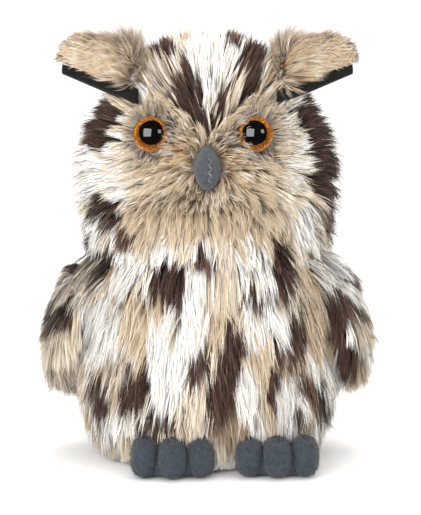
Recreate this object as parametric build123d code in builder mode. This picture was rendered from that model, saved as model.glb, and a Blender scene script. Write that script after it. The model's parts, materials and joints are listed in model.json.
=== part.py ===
from build123d import *
import math
import os

# Plush eagle owl with a turning head and a squeeze-to-hoot sound module.
# Millimetres, +Z up, the owl faces -Y. The origin is the middle of its footprint, on the surface it stands on.
# Left and right are the owl's own: left is +X.
# Fur pieces are closed solids of the backing cloth with its pile, so their outside is where the pile ends.

os.makedirs("parts", exist_ok=True)

# ---- driving dimensions --------------------------------------------------------------------------
PILE = 11.0  # backing cloth with its combed-down pile
CLOTH = 2.0  # gathered cloth at the neck, where there is no pile
FELT = 1.2  # felt, fleece and lining cloth
GAP = 1.0  # air between the fur of a flap and the fur it lies against
FIT = 0.2  # moulded pieces that slide in each other

# ovals through the torso and the head: height, half width, half depth
BODY_OVALS = [(0, 42, 36), (8, 50, 43), (22, 57, 49), (45, 61, 52), (65, 60, 51), (82, 57, 49), (97, 52, 46)]
HEAD_OVALS = [
    (97.4, 54, 48), (112, 57, 51), (130, 57, 52), (148, 55.5, 51), (163, 50, 47),
    (177, 41, 41), (190, 29, 30), (197, 19, 20), (200, 9, 10),
]
WING_OVALS = [(30, 71, 58), (58, 75, 63), (78, 71, 60), (94, 63, 54)]
DOME = 8.0  # half width of the small flat on top of a domed stuffing

NECK_Z = BODY_OVALS[-1][0]
HEAD_Z = HEAD_OVALS[0][0]

# facial disc
FACE_Z, FACE_HALF_W, FACE_HALF_H, FACE_BACK_Y = 133.0, 46.0, 36.0, -22.0
FOREHEAD_HALF_W, FOREHEAD_LOW_Z = 20.0, 148.0  # the mottled forehead comes down to a point between the eyes

# eyes
EYE_R, EYE_DOME, PUPIL_R = 8.0, 5.2, 5.7
EYE_X = {"left": 21.2, "right": -25.0}  # the left eye is sewn a little nearer the beak
EYE_Y, EYE_Z = -42.0, 151.5
EYE_YAW = 6.0  # degrees that each eye looks outward
IRIS_T, EYE_PLATE_T = 0.6, 1.6
EYE_STEM_R, EYE_STEM_L = 2.5, 15.0
EYE_WASHER_R, EYE_WASHER_T, EYE_WASHER_AT = 7.0, 1.4, 9.0

# beak: distance in front of the neck axis, half width, half height, drop of the centre
BEAK_Z = 136.8
BEAK_OVALS = [(43, 6.0, 9.2, 0.0), (51, 6.2, 9.5, 0.2), (56, 4.9, 7.9, 1.4), (59.5, 2.0, 4.0, 2.6)]

# ear tufts
EAR_ROOT, EAR_TIP = Vector(28, -5, 178), Vector(69, -8, 187)
# share of the way to the tip, half depth, half height
EAR_OVALS = [(0.0, 11.0, 12.5), (0.5, 10.0, 12.5), (0.85, 8.0, 10.5), (1.0, 4.0, 5.0)]
EAR_FELT_DROP = 5.0  # the felt underside starts this far below the tuft's middle
EAR_HINGE = Vector(40.5, -5, 179)
EAR_TILT = 12.0

# wings and tail
# corners of the wing seen from the side, each with a point on the arc that leaves it: depth and height
WING_ARCS = [((-26, 78), (1, 93)), ((30, 78), (34, 56)), ((16, 36), (-19, 49))]
TAIL_HINGE_Y, TAIL_HINGE_Z, TAIL_LENGTH, TAIL_SIDE = 53.3, 52.0, 38.0, 30.4
TAIL_TOP_W, TAIL_LOW_W, TAIL_T = 30.0, 40.0, 6.5
TAIL_LEAN = 3.0  # degrees off the vertical

# feet
TOE_W, TOE_L, TOE_H, TOE_ROUND = 12.4, 25.0, 17.0, 5.6
TOE_TIP_Y = -62.0
TOE_SET_BACK = 2.5  # the outer toes stand this far behind the middle one
FOOT_X = {"right": -15.5, "left": 31.0}
FOOT_BACK = {"right": 0.0, "left": 2.0}
INSTEP_L, INSTEP_H = 20.0, 12.0

# base
BASE_Z, BASE_T = 2.6, 1.6
OPENING_W, OPENING_D = 40.0, 24.0
FLAP_W, FLAP_D, FLAP_Z, FLAP_T = 46.0, 32.0, 0.5, 0.8
STRIP_W, STRIP_D, HOOK_T, LOOP_T = 30.0, 3.0, 0.6, 0.5
BAG_RX, BAG_RY, BAG_H, BAG_T = 33.5, 27.0, 12.0, 0.8

# neck joint
STEM_R, STEM_RUN, DISC_R, DISC_T = 4.0, 0.05, 16.0, 3.0
WASHER_R, WASHER_T = 17.0, 0.6
LOCK_R, LOCK_T, LOCK_PLAY = 7.0, 1.3, 0.1
STEM_END = 88.5

# sound module
CASE_X, CASE_Y, CASE_Z, CASE_H = 21.0, 13.0, 8.0, 50.0  # half width, half depth, underside, height
WALL, FLOOR, CASE_SPLIT, CASE_ROUND = 1.6, 3.2, -4.0, 3.0
POUCH_T = 1.0
BUTTON_Z, BUTTON_R, BUTTON_FLANGE_R, BUTTON_PROUD = 46.0, 8.5, 9.7, 4.0
BUTTON_FLANGE_T, BUTTON_STEM_R, BUTTON_STEM_END = 1.3, 2.5, -5.5
BOARD_Y, BOARD_T, BOARD_HALF_W, BOARD_LOW, BOARD_HIGH = 1.0, 1.2, 18.0, 37.5, 56.0
SWITCH_W, SWITCH_H, SWITCH_PLUNGER = 6.0, 4.2, 1.0
SPRING_R, SPRING_WIRE, SPRING_TURNS = 5.4, 0.35, 5
CHIP_W, CHIP_T = 9.0, 1.5
POST_R, POST_X = 2.0, 14.0
SPEAKER_Z = 23.5
# the speaker's rings in section: radius, depth behind its front
BASKET = [(10.2, 0), (11.5, 0), (11.5, 1.4), (7, 4.2), (7, 6.8), (0, 6.8), (0, 4.6), (5.6, 3.6), (10.2, 1.0)]
CONE = [(0, 3.0), (3, 3.2), (10.2, 0.3), (10.2, 0.8), (3, 3.7), (0, 3.5)]
SPEAKER_TAG_RISE = 4.0  # the leads leave the speaker this far above its middle
GRILLE_HOLE_R, GRILLE_RINGS = 0.9, ((4, 6), (8, 12))  # rings of holes: radius, count
SCREW_R, SCREW_HEAD_R, SCREW_HEAD_T, BOSS_R = 1.0, 2.0, 0.8, 2.6
CASE_SCREW_X, CASE_SCREW_Z = 16.5, 33.5
CELL_R, CELL_T, CELL_COUNT, CELL_Y = 5.8, 5.4, 3, 4.8
CONTACT_T = 0.5
DOOR_LOW_X, DOOR_HIGH_X, DOOR_HALF_D, DOOR_T = -11.0, 19.4, 6.9, 1.4
DOOR_SCREW_X, DOOR_BOSS_H, DOOR_BOSS_R = 15.5, 7.0, 3.0
LEAD_R, LEAD_BEND_R, LEAD_RISE = 0.5, 2.0, 5.0

SIDES = {"left": 1, "right": -1}


# ---- helpers -------------------------------------------------------------------------------------
def save(piece, name):
    """Labels one finished piece and writes its STEP file."""
    piece.part.label = name
    export_step(piece.part, f"parts/{name}.step")


def oval_solid(ovals, inset=0.0):
    """A solid through level ovals, all drawn in by inset."""
    with BuildPart() as solid:
        for height, half_width, half_depth in ovals:
            with BuildSketch(Plane.XY.offset(height)):
                Ellipse(half_width - inset, half_depth - inset)
        loft()
    return solid.part


def core_ovals(ovals, floor, top=None):
    """The ovals of the hollow inside a fur skin: drawn in by the pile, from floor up to top or to a small dome."""
    first = (floor, ovals[0][1] - PILE, ovals[0][2] - PILE)
    if top is None:
        last = (ovals[-1][0] - PILE, DOME, DOME)
    else:
        last = (top, ovals[-1][1] - PILE, ovals[-1][2] - PILE)
    middle = [(z, rx - PILE, ry - PILE) for z, rx, ry in ovals[1:] if z < last[0] - PILE / 2]
    return [first, *middle, last]


def front_plane(y, z=0.0, x=0.0):
    """An upright plane at y that faces the front, with its own x along +X and its own y along +Z."""
    return Plane(origin=(x, y, z), x_dir=(1, 0, 0), z_dir=(0, -1, 0))


def rod(plane, radius, length):
    """A plain round bar from a plane along its normal."""
    with BuildPart() as bar:
        with BuildSketch(plane):
            Circle(radius)
        extrude(amount=length)
    return bar.part


def block(low, high):
    """A plain box between two corners."""
    with BuildPart() as box:
        with BuildSketch(Plane.XY.offset(low[2])):
            with Locations(((low[0] + high[0]) / 2, (low[1] + high[1]) / 2)):
                Rectangle(high[0] - low[0], high[1] - low[1])
        extrude(amount=high[2] - low[2])
    return box.part


# ---- shared volumes ------------------------------------------------------------------------------
head_outer = oval_solid(HEAD_OVALS)
head_core = oval_solid(core_ovals(HEAD_OVALS, HEAD_Z + CLOTH))
body_outer = oval_solid(BODY_OVALS)
body_core = oval_solid(core_ovals(BODY_OVALS, 0, NECK_Z - CLOTH))


def eye_plane(name):
    """The plane of an eye's rim, whose normal is where the eye looks."""
    yaw = math.radians(EYE_YAW) * SIDES[name]
    gaze = Vector(math.sin(yaw), -math.cos(yaw), 0)
    across = Vector(math.cos(yaw), math.sin(yaw), 0)
    return Plane(origin=(EYE_X[name], EYE_Y, EYE_Z), x_dir=across, z_dir=gaze)


def eye_room(name):
    """All that an eye takes out of the skin and the stuffing: its seat, its stem and its washer."""
    rim = eye_plane(name)
    plate_back = IRIS_T + EYE_PLATE_T
    with BuildPart() as room:
        add(rod(rim.offset(-plate_back), EYE_R, plate_back + 2 * PILE))
        add(rod(rim.offset(-EYE_STEM_L), EYE_STEM_R, EYE_STEM_L))
        add(rod(rim.offset(-EYE_WASHER_AT - EYE_WASHER_T), EYE_WASHER_R, EYE_WASHER_T))
    return room.part


def beak_solid(inset=0.0):
    """The beak's rounded wedge, drawn in by inset."""
    with BuildPart() as wedge:
        for front, half_width, half_height, drop in BEAK_OVALS:
            drawn_in = inset if front > BEAK_OVALS[0][0] else 0
            with BuildSketch(front_plane(drawn_in - front, BEAK_Z - drop)):
                Ellipse(half_width - inset, half_height - inset)
        loft()
    return wedge.part


eye_rooms = {name: eye_room(name) for name in SIDES}
beak_outer = beak_solid()

# ---- head: skin, facial disc and stuffing --------------------------------------------------------
with BuildPart() as face_area:
    with BuildSketch(front_plane(FACE_BACK_Y, FACE_Z)):
        Ellipse(FACE_HALF_W, FACE_HALF_H)
        with BuildLine():
            point = (0, FOREHEAD_LOW_Z - FACE_Z)
            Polyline(point, (FOREHEAD_HALF_W, FACE_HALF_H), (-FOREHEAD_HALF_W, FACE_HALF_H), point)
        make_face(mode=Mode.SUBTRACT)
    extrude(amount=HEAD_OVALS[2][1])

with BuildPart() as head_skin:
    add(head_outer)
    add(head_core, mode=Mode.SUBTRACT)
    add(face_area.part, mode=Mode.SUBTRACT)
    add(rod(Plane.XY.offset(HEAD_Z), STEM_R, CLOTH), mode=Mode.SUBTRACT)
    for room in eye_rooms.values():
        add(room, mode=Mode.SUBTRACT)
save(head_skin, "head_skin")

with BuildPart() as face_panel:
    add(head_outer)
    add(head_core, mode=Mode.SUBTRACT)
    add(face_area.part, mode=Mode.INTERSECT)
    add(beak_outer, mode=Mode.SUBTRACT)
    for room in eye_rooms.values():
        add(room, mode=Mode.SUBTRACT)
save(face_panel, "face_panel")

upper_disc_z = HEAD_Z + CLOTH + WASHER_T
with BuildPart() as head_stuffing:
    add(head_core)
    add(rod(Plane.XY.offset(HEAD_Z + CLOTH), WASHER_R, WASHER_T + DISC_T), mode=Mode.SUBTRACT)
    for room in eye_rooms.values():
        add(room, mode=Mode.SUBTRACT)
save(head_stuffing, "head_stuffing")

# ---- beak ----------------------------------------------------------------------------------------
beak_inner = beak_solid(FELT)
with BuildPart() as beak_felt:
    add(beak_outer)
    add(beak_inner, mode=Mode.SUBTRACT)
save(beak_felt, "beak_felt")

with BuildPart() as beak_filling:
    add(beak_inner)
save(beak_filling, "beak_filling")

# ---- eyes: clear dome, iris ring, pupil, stemmed back plate and lock washer ----------------------
dome_sphere_r = (EYE_R**2 + EYE_DOME**2) / (2 * EYE_DOME)
for name in SIDES:
    rim = eye_plane(name)

    with BuildPart() as eye_lens:
        add(rod(rim, EYE_R, EYE_DOME + 1))
        with Locations(rim.offset(EYE_DOME - dome_sphere_r)):
            Sphere(dome_sphere_r, mode=Mode.INTERSECT)
    save(eye_lens, f"eye_{name}_lens")

    with BuildPart() as eye_iris:
        with BuildSketch(rim.offset(-IRIS_T)):
            Circle(EYE_R)
            Circle(PUPIL_R, mode=Mode.SUBTRACT)
        extrude(amount=IRIS_T)
    save(eye_iris, f"eye_{name}_iris")

    with BuildPart() as eye_pupil:
        add(rod(rim.offset(-IRIS_T), PUPIL_R, IRIS_T))
    save(eye_pupil, f"eye_{name}_pupil")

    with BuildPart() as eye_stem:
        add(rod(rim.offset(-IRIS_T - EYE_PLATE_T), EYE_R, EYE_PLATE_T))
        add(rod(rim.offset(-EYE_STEM_L), EYE_STEM_R, EYE_STEM_L - IRIS_T - EYE_PLATE_T))
    save(eye_stem, f"eye_{name}_stem")

    with BuildPart() as eye_washer:
        with BuildSketch(rim.offset(-EYE_WASHER_AT - EYE_WASHER_T)):
            Circle(EYE_WASHER_R)
            Circle(EYE_STEM_R, mode=Mode.SUBTRACT)
        extrude(amount=EYE_WASHER_T)
    save(eye_washer, f"eye_{name}_washer")

# ---- ear tufts: each is sewn along its root and tilts there --------------------------------------
head_clear = oval_solid(HEAD_OVALS, -GAP)


def mirrored(point, side):
    """A point on the owl's left, or its mirror on the right."""
    return Vector(side * point.X, point.Y, point.Z)


def ear_horn(side):
    """The tuft's whole shape, from inside the head to its blunt tip."""
    root = mirrored(EAR_ROOT, side)
    reach = mirrored(EAR_TIP, side) - root
    with BuildPart() as horn:
        for along, half_depth, half_height in EAR_OVALS:
            with BuildSketch(Plane(origin=root + reach * along, x_dir=(0, 1, 0), z_dir=reach)):
                Ellipse(half_depth, half_height)
        loft()
    return horn.part


for name, side in SIDES.items():
    hinge = Axis(mirrored(EAR_HINGE, side), (0, 1, 0))
    root = mirrored(EAR_ROOT, side)
    reach = mirrored(EAR_TIP, side) - root
    with BuildPart() as ear:
        add(ear_horn(side))
        for tilt in (-EAR_TILT, 0, EAR_TILT):
            add(head_clear.rotate(hinge, tilt), mode=Mode.SUBTRACT)

    up = Vector(0, 1, 0).cross(reach).normalized() * -side
    seam = Plane(origin=root - up * EAR_FELT_DROP, x_dir=reach, z_dir=up)
    with BuildPart() as ear_fur:
        add(ear.part)
        split(bisect_by=seam, keep=Keep.TOP)
    save(ear_fur, f"ear_{name}_fur")

    with BuildPart() as ear_felt:
        add(ear.part)
        split(bisect_by=seam, keep=Keep.BOTTOM)
    save(ear_felt, f"ear_{name}_felt")

# ---- feet: three toes and an instep each ---------------------------------------------------------
def foot_solid(name, inset=0.0):
    """A foot's outer shape drawn in by inset, its sole staying inset above the ground."""
    side = SIDES[name]
    tip = TOE_TIP_Y + FOOT_BACK[name]
    with BuildPart() as foot:
        for toe in (-1, 0, 1):
            back = tip + abs(toe) * TOE_SET_BACK
            centre = (FOOT_X[name] + toe * TOE_W, back + TOE_L / 2, TOE_H / 2)
            with BuildPart(mode=Mode.PRIVATE) as toe_shape:
                with Locations(centre):
                    Box(TOE_W - 2 * inset, TOE_L - 2 * inset, TOE_H - 2 * inset)
                fillet(toe_shape.edges(), TOE_ROUND - inset)
            add(toe_shape.part)
        instep_y = tip + TOE_L
        low = (FOOT_X[name] - TOE_W + inset, instep_y - TOE_L / 2, inset)
        high = (FOOT_X[name] + TOE_W - inset, instep_y + INSTEP_L - TOE_L / 2 - inset, INSTEP_H - inset)
        add(block(low, high))
    return foot.part


feet = {name: foot_solid(name) for name in SIDES}
for name in SIDES:
    filling = foot_solid(name, FELT)
    with BuildPart() as foot_fleece:
        add(feet[name])
        add(filling, mode=Mode.SUBTRACT)
    save(foot_fleece, f"foot_{name}_fleece")

    with BuildPart() as foot_filling:
        add(filling)
    save(foot_filling, f"foot_{name}_filling")

# ---- torso skin and base -------------------------------------------------------------------------
with BuildPart() as body_skin:
    add(body_outer)
    add(body_core, mode=Mode.SUBTRACT)
    add(rod(Plane.XY.offset(NECK_Z - CLOTH), STEM_R + FIT, CLOTH), mode=Mode.SUBTRACT)
    for foot in feet.values():
        add(foot, mode=Mode.SUBTRACT)
save(body_skin, "body_skin")

base_rx = BODY_OVALS[0][1] - PILE
base_ry = BODY_OVALS[0][2] - PILE
with BuildPart() as base_panel:
    with BuildSketch(Plane.XY.offset(BASE_Z)):
        Ellipse(base_rx, base_ry)
        Rectangle(OPENING_W, OPENING_D, mode=Mode.SUBTRACT)
    extrude(amount=BASE_T)
save(base_panel, "base_panel")

with BuildPart() as base_flap:
    with BuildSketch(Plane.XY.offset(FLAP_Z)):
        RectangleRounded(FLAP_W, FLAP_D, STRIP_D)
    extrude(amount=FLAP_T)
save(base_flap, "base_flap")

strip_y = -(OPENING_D + FLAP_D) / 4
with BuildPart() as flap_hook_strip:
    with BuildSketch(Plane.XY.offset(FLAP_Z + FLAP_T)):
        with Locations((0, strip_y)):
            Rectangle(STRIP_W, STRIP_D)
    extrude(amount=HOOK_T)
save(flap_hook_strip, "flap_hook_strip")

with BuildPart() as base_loop_strip:
    with BuildSketch(Plane.XY.offset(BASE_Z - LOOP_T)):
        with Locations((0, strip_y)):
            Rectangle(STRIP_W, STRIP_D)
    extrude(amount=LOOP_T)
save(base_loop_strip, "base_loop_strip")

# a ring-shaped bag of pellets lies round the module on the base panel
bag_low = BASE_Z + BASE_T
pouch_x = CASE_X + POUCH_T
pouch_y = CASE_Y + POUCH_T


def pellet_ring(inset=0.0):
    """The ring bag's shape drawn in by inset."""
    with BuildPart() as ring:
        with BuildSketch(Plane.XY.offset(bag_low + inset)):
            Ellipse(BAG_RX - inset, BAG_RY - inset)
            Rectangle(2 * (pouch_x + inset), 2 * (pouch_y + inset), mode=Mode.SUBTRACT)
        extrude(amount=BAG_H - 2 * inset)
    return ring.part


pellet_core = pellet_ring(BAG_T)
with BuildPart() as pellet_bag:
    add(pellet_ring())
    add(pellet_core, mode=Mode.SUBTRACT)
save(pellet_bag, "pellet_bag")

with BuildPart() as pellets:
    add(pellet_core)
save(pellets, "pellets")

# ---- torso stuffing, with room for the module, the bag and the neck joint ------------------------
pouch_top = CASE_Z + CASE_H + POUCH_T
with BuildPart() as body_stuffing:
    add(body_core)
    add(block((-base_rx * 2, -base_ry * 2, 0), (base_rx * 2, base_ry * 2, bag_low)), mode=Mode.SUBTRACT)
    add(pellet_ring(), mode=Mode.SUBTRACT)
    add(block((-pouch_x, -pouch_y, 0), (pouch_x, pouch_y, pouch_top)), mode=Mode.SUBTRACT)
    add(rod(front_plane(-pouch_y, BUTTON_Z), BUTTON_FLANGE_R, BUTTON_PROUD + GAP), mode=Mode.SUBTRACT)
    add(rod(Plane.XY.offset(STEM_END - GAP), WASHER_R, NECK_Z - STEM_END), mode=Mode.SUBTRACT)
    for foot in feet.values():
        add(foot, mode=Mode.SUBTRACT)
save(body_stuffing, "body_stuffing")

# ---- neck joint: the head's disc and stem turn in the torso's disc -------------------------------
lower_disc_z = NECK_Z - CLOTH - WASHER_T - DISC_T
with BuildPart() as neck_upper_disc:
    add(rod(Plane.XY.offset(upper_disc_z), DISC_R, DISC_T))
    add(rod(Plane.XY.offset(STEM_END), STEM_R, upper_disc_z - STEM_END))
    chamfer(neck_upper_disc.edges().sort_by(Axis.Z)[0], STEM_R / 5)
save(neck_upper_disc, "neck_upper_disc")

with BuildPart() as neck_upper_washer:
    with BuildSketch(Plane.XY.offset(HEAD_Z + CLOTH)):
        Circle(WASHER_R)
        Circle(STEM_R, mode=Mode.SUBTRACT)
    extrude(amount=WASHER_T)
save(neck_upper_washer, "neck_upper_washer")

with BuildPart() as neck_lower_washer:
    with BuildSketch(Plane.XY.offset(NECK_Z - CLOTH - WASHER_T)):
        Circle(WASHER_R)
        Circle(STEM_R + FIT, mode=Mode.SUBTRACT)
    extrude(amount=WASHER_T)
save(neck_lower_washer, "neck_lower_washer")

with BuildPart() as neck_lower_disc:
    with BuildSketch(Plane.XY.offset(lower_disc_z)):
        Circle(DISC_R)
        Circle(STEM_R + STEM_RUN, mode=Mode.SUBTRACT)
    extrude(amount=DISC_T)
save(neck_lower_disc, "neck_lower_disc")

with BuildPart() as neck_lock_washer:
    with BuildSketch(Plane.XY.offset(lower_disc_z - LOCK_PLAY - LOCK_T)):
        Circle(LOCK_R)
        Circle(STEM_R, mode=Mode.SUBTRACT)
    extrude(amount=LOCK_T)
save(neck_lock_washer, "neck_lock_washer")

# ---- wings: a furred flap with a lining, sewn along the shoulder ---------------------------------
body_clear = oval_solid(BODY_OVALS, -GAP)
lining_clear = oval_solid(BODY_OVALS, -GAP - FELT)
wing_outer = oval_solid(WING_OVALS)
wing_reach = max(half_width for height, half_width, half_depth in WING_OVALS)
for name, side in SIDES.items():
    with BuildPart() as wing_area:
        with BuildSketch(Plane(origin=(side * STEM_R, 0, 0), x_dir=(0, 1, 0), z_dir=(1, 0, 0))):
            with BuildLine():
                for (start, middle), (end, _) in zip(WING_ARCS, WING_ARCS[1:] + WING_ARCS[:1]):
                    ThreePointArc(start, middle, end)
            make_face()
        extrude(amount=side * wing_reach)

    with BuildPart() as wing_fur:
        add(wing_outer)
        add(lining_clear, mode=Mode.SUBTRACT)
        add(wing_area.part, mode=Mode.INTERSECT)
    save(wing_fur, f"wing_{name}_fur")

    with BuildPart() as wing_lining:
        add(lining_clear)
        add(body_clear, mode=Mode.SUBTRACT)
        add(wing_area.part, mode=Mode.INTERSECT)
    save(wing_lining, f"wing_{name}_lining")

# ---- tail: a short fan-shaped flap ---------------------------------------------------------------
lean = math.radians(TAIL_LEAN)
tail_plane = Plane(
    origin=(0, TAIL_HINGE_Y, TAIL_HINGE_Z),
    x_dir=(1, 0, 0),
    z_dir=(0, math.cos(lean), math.sin(lean)),
)


def tail_layer(low, thickness):
    """One layer of the tail, from low off its front face."""
    near, far = (-TAIL_LOW_W / 2, TAIL_SIDE), (TAIL_LOW_W / 2, TAIL_SIDE)
    with BuildPart() as layer:
        with BuildSketch(tail_plane.offset(low)):
            with BuildLine():
                Polyline(near, (-TAIL_TOP_W / 2, 0), (TAIL_TOP_W / 2, 0), far)
                ThreePointArc(near, (0, TAIL_LENGTH), far)
            make_face()
        extrude(amount=thickness)
    return layer.part


with BuildPart() as tail_lining:
    add(tail_layer(0, FELT))
save(tail_lining, "tail_lining")

with BuildPart() as tail_fur:
    add(tail_layer(FELT, TAIL_T))
save(tail_fur, "tail_fur")

# ---- sound module: pouch and case ----------------------------------------------------------------
case_top = CASE_Z + CASE_H
with BuildPart() as module_pouch:
    add(block((-pouch_x, -pouch_y, CASE_Z), (pouch_x, pouch_y, pouch_top)))
    add(block((-CASE_X, -CASE_Y, CASE_Z), (CASE_X, CASE_Y, case_top)), mode=Mode.SUBTRACT)
    add(rod(front_plane(-CASE_Y, BUTTON_Z), BUTTON_FLANGE_R, POUCH_T), mode=Mode.SUBTRACT)
save(module_pouch, "module_pouch")

with BuildPart() as case_shape:
    add(block((-CASE_X, -CASE_Y, CASE_Z), (CASE_X, CASE_Y, case_top)))
    fillet(case_shape.edges().filter_by(Axis.Z), CASE_ROUND)

floor_z = CASE_Z + FLOOR
case_hollow = block((WALL - CASE_X, WALL - CASE_Y, floor_z), (CASE_X - WALL, CASE_Y - WALL, case_top - WALL))
front_half = block((-2 * CASE_X, -2 * CASE_Y, 0), (2 * CASE_X, CASE_SPLIT, 2 * case_top))
front_inside = WALL - CASE_Y
screw_sites = [(side * CASE_SCREW_X, CASE_SCREW_Z) for side in SIDES.values()]

with BuildPart() as module_front_case:
    add(case_shape.part)
    add(case_hollow, mode=Mode.SUBTRACT)
    add(front_half, mode=Mode.INTERSECT)
    for x, z in screw_sites:
        add(rod(front_plane(CASE_SPLIT, z, x), BOSS_R, CASE_SPLIT - front_inside))
        add(rod(front_plane(CASE_SPLIT, z, x), SCREW_R, CASE_SPLIT - front_inside), mode=Mode.SUBTRACT)
    add(rod(front_plane(front_inside, BUTTON_Z), BUTTON_R + FIT, WALL), mode=Mode.SUBTRACT)
    with BuildSketch(front_plane(front_inside, SPEAKER_Z)):
        Circle(GRILLE_HOLE_R)
        for ring_r, holes in GRILLE_RINGS:
            with PolarLocations(ring_r, holes):
                Circle(GRILLE_HOLE_R)
    extrude(amount=WALL, mode=Mode.SUBTRACT)
save(module_front_case, "module_front_case")

cradle_x = CELL_COUNT * CELL_T / 2 + CONTACT_T
with BuildPart() as module_back_case:
    add(case_shape.part)
    add(case_hollow, mode=Mode.SUBTRACT)
    add(front_half, mode=Mode.SUBTRACT)
    for x, z in screw_sites:
        add(rod(front_plane(CASE_Y - WALL, z, x), BOSS_R, CASE_Y - WALL - CASE_SPLIT))
        add(rod(front_plane(CASE_Y, z, x), SCREW_R, CASE_Y - CASE_SPLIT), mode=Mode.SUBTRACT)
        add(rod(front_plane(CASE_Y, z, x), SCREW_HEAD_R, SCREW_HEAD_T), mode=Mode.SUBTRACT)
    for side in SIDES.values():
        board_back = BOARD_Y + BOARD_T
        add(rod(front_plane(CASE_Y - WALL, BUTTON_Z, side * POST_X), POST_R, CASE_Y - WALL - board_back))
        inner, outer = sorted((side * cradle_x, side * (cradle_x + WALL)))
        add(block((inner, CELL_Y - CELL_R, floor_z), (outer, CASE_Y - WALL, floor_z + 1.5 * CELL_R)))
    boss_plane = Plane.XY.offset(floor_z)
    with BuildSketch(boss_plane):
        with Locations((DOOR_SCREW_X, CELL_Y)):
            Circle(DOOR_BOSS_R)
    extrude(amount=DOOR_BOSS_H)
    add(
        block(
            (DOOR_LOW_X, CELL_Y - DOOR_HALF_D, CASE_Z),
            (DOOR_HIGH_X, CELL_Y + DOOR_HALF_D, CASE_Z + DOOR_T),
        ),
        mode=Mode.SUBTRACT,
    )
    add(block((-cradle_x, CELL_Y - CELL_R, CASE_Z), (cradle_x, CELL_Y + CELL_R, floor_z)), mode=Mode.SUBTRACT)
    add(
        rod(Plane.XY.offset(CASE_Z).move(Location((DOOR_SCREW_X, CELL_Y, 0))), SCREW_R, FLOOR + DOOR_BOSS_H),
        mode=Mode.SUBTRACT,
    )
save(module_back_case, "module_back_case")

with BuildPart() as case_screws:
    for x, z in screw_sites:
        add(rod(front_plane(CASE_Y, z, x), SCREW_HEAD_R, SCREW_HEAD_T))
        add(rod(front_plane(CASE_Y, z, x), SCREW_R, CASE_Y - CASE_SPLIT + BOSS_R))
save(case_screws, "case_screws")

# ---- sound module: button, spring, board, switch and chip ----------------------------------------
flange_front = front_inside + FIT
with BuildPart() as squeeze_button:
    add(rod(front_plane(flange_front, BUTTON_Z), BUTTON_R, flange_front + CASE_Y + BUTTON_PROUD))
    fillet(squeeze_button.edges().sort_by(Axis.Y)[0], WALL)
    add(rod(front_plane(flange_front + BUTTON_FLANGE_T, BUTTON_Z), BUTTON_FLANGE_R, BUTTON_FLANGE_T))
    stem_length = BUTTON_STEM_END - flange_front
    add(rod(front_plane(BUTTON_STEM_END, BUTTON_Z), BUTTON_STEM_R, stem_length))
save(squeeze_button, "squeeze_button")

spring_back = BOARD_Y - SPRING_WIRE
spring_front = flange_front + BUTTON_FLANGE_T + SPRING_WIRE
spring_length = spring_back - spring_front
with BuildPart() as button_spring:
    with BuildLine():
        coil = Helix(
            pitch=spring_length / SPRING_TURNS,
            height=spring_length,
            radius=SPRING_R,
            center=(0, spring_front, BUTTON_Z),
            direction=(0, 1, 0),
        )
    with BuildSketch(Plane(origin=coil @ 0, z_dir=coil % 0)):
        Circle(SPRING_WIRE)
    sweep(is_frenet=True)
save(button_spring, "button_spring")

with BuildPart() as circuit_board:
    add(block((-BOARD_HALF_W, BOARD_Y, BOARD_LOW), (BOARD_HALF_W, BOARD_Y + BOARD_T, BOARD_HIGH)))
save(circuit_board, "circuit_board")

with BuildPart() as push_switch:
    half = SWITCH_W / 2
    body_front = BOARD_Y - SWITCH_H + SWITCH_PLUNGER
    add(block((-half, body_front, BUTTON_Z - half), (half, BOARD_Y, BUTTON_Z + half)))
    add(rod(front_plane(body_front, BUTTON_Z), BUTTON_STEM_R / 2, SWITCH_PLUNGER))
save(push_switch, "push_switch")

with BuildPart() as sound_chip:
    board_back = BOARD_Y + BOARD_T
    half = CHIP_W / 2
    add(block((-half, board_back, BUTTON_Z - half), (half, board_back + CHIP_T, BUTTON_Z + half)))
    fillet(sound_chip.edges().group_by(Axis.Y)[-1], CHIP_T / 2)
save(sound_chip, "sound_chip")

# ---- sound module: speaker -----------------------------------------------------------------------
speaker_side = Plane(origin=(0, front_inside, SPEAKER_Z), x_dir=(1, 0, 0), z_dir=(0, 0, -1))
speaker_axis = Axis((0, front_inside, SPEAKER_Z), (0, 1, 0))


def turned(profile):
    """A ring turned about the speaker's axis from a profile of radius and depth."""
    with BuildPart() as ring:
        with BuildSketch(speaker_side):
            with BuildLine():
                Polyline(*[(radius, -depth) for radius, depth in profile], close=True)
            make_face()
        revolve(axis=speaker_axis)
    return ring.part


with BuildPart() as speaker_basket:
    add(turned(BASKET))
save(speaker_basket, "speaker_basket")

with BuildPart() as speaker_cone:
    add(turned(CONE))
save(speaker_cone, "speaker_cone")

# ---- sound module: cells, contacts, door and leads -----------------------------------------------
cell_z = floor_z + CELL_R + FIT
with BuildPart() as button_cells:
    for number in range(CELL_COUNT):
        cell_x = (number - CELL_COUNT / 2) * CELL_T
        cell_plane = Plane(origin=(cell_x, CELL_Y, cell_z), x_dir=(0, 1, 0), z_dir=(1, 0, 0))
        add(rod(cell_plane, CELL_R - FIT, CELL_T - 2 * FIT))
        add(rod(cell_plane.offset(CELL_T - 2 * FIT), CELL_R - 1, FIT))
save(button_cells, "button_cells")

contact_top = cell_z + CELL_R - FIT
with BuildPart() as cell_contacts:
    for side in SIDES.values():
        inner, outer = sorted((side * (cradle_x - CONTACT_T), side * cradle_x))
        add(block((inner, CELL_Y - CELL_R + 1, floor_z), (outer, CELL_Y + CELL_R - 1, contact_top)))
save(cell_contacts, "cell_contacts")

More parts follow.
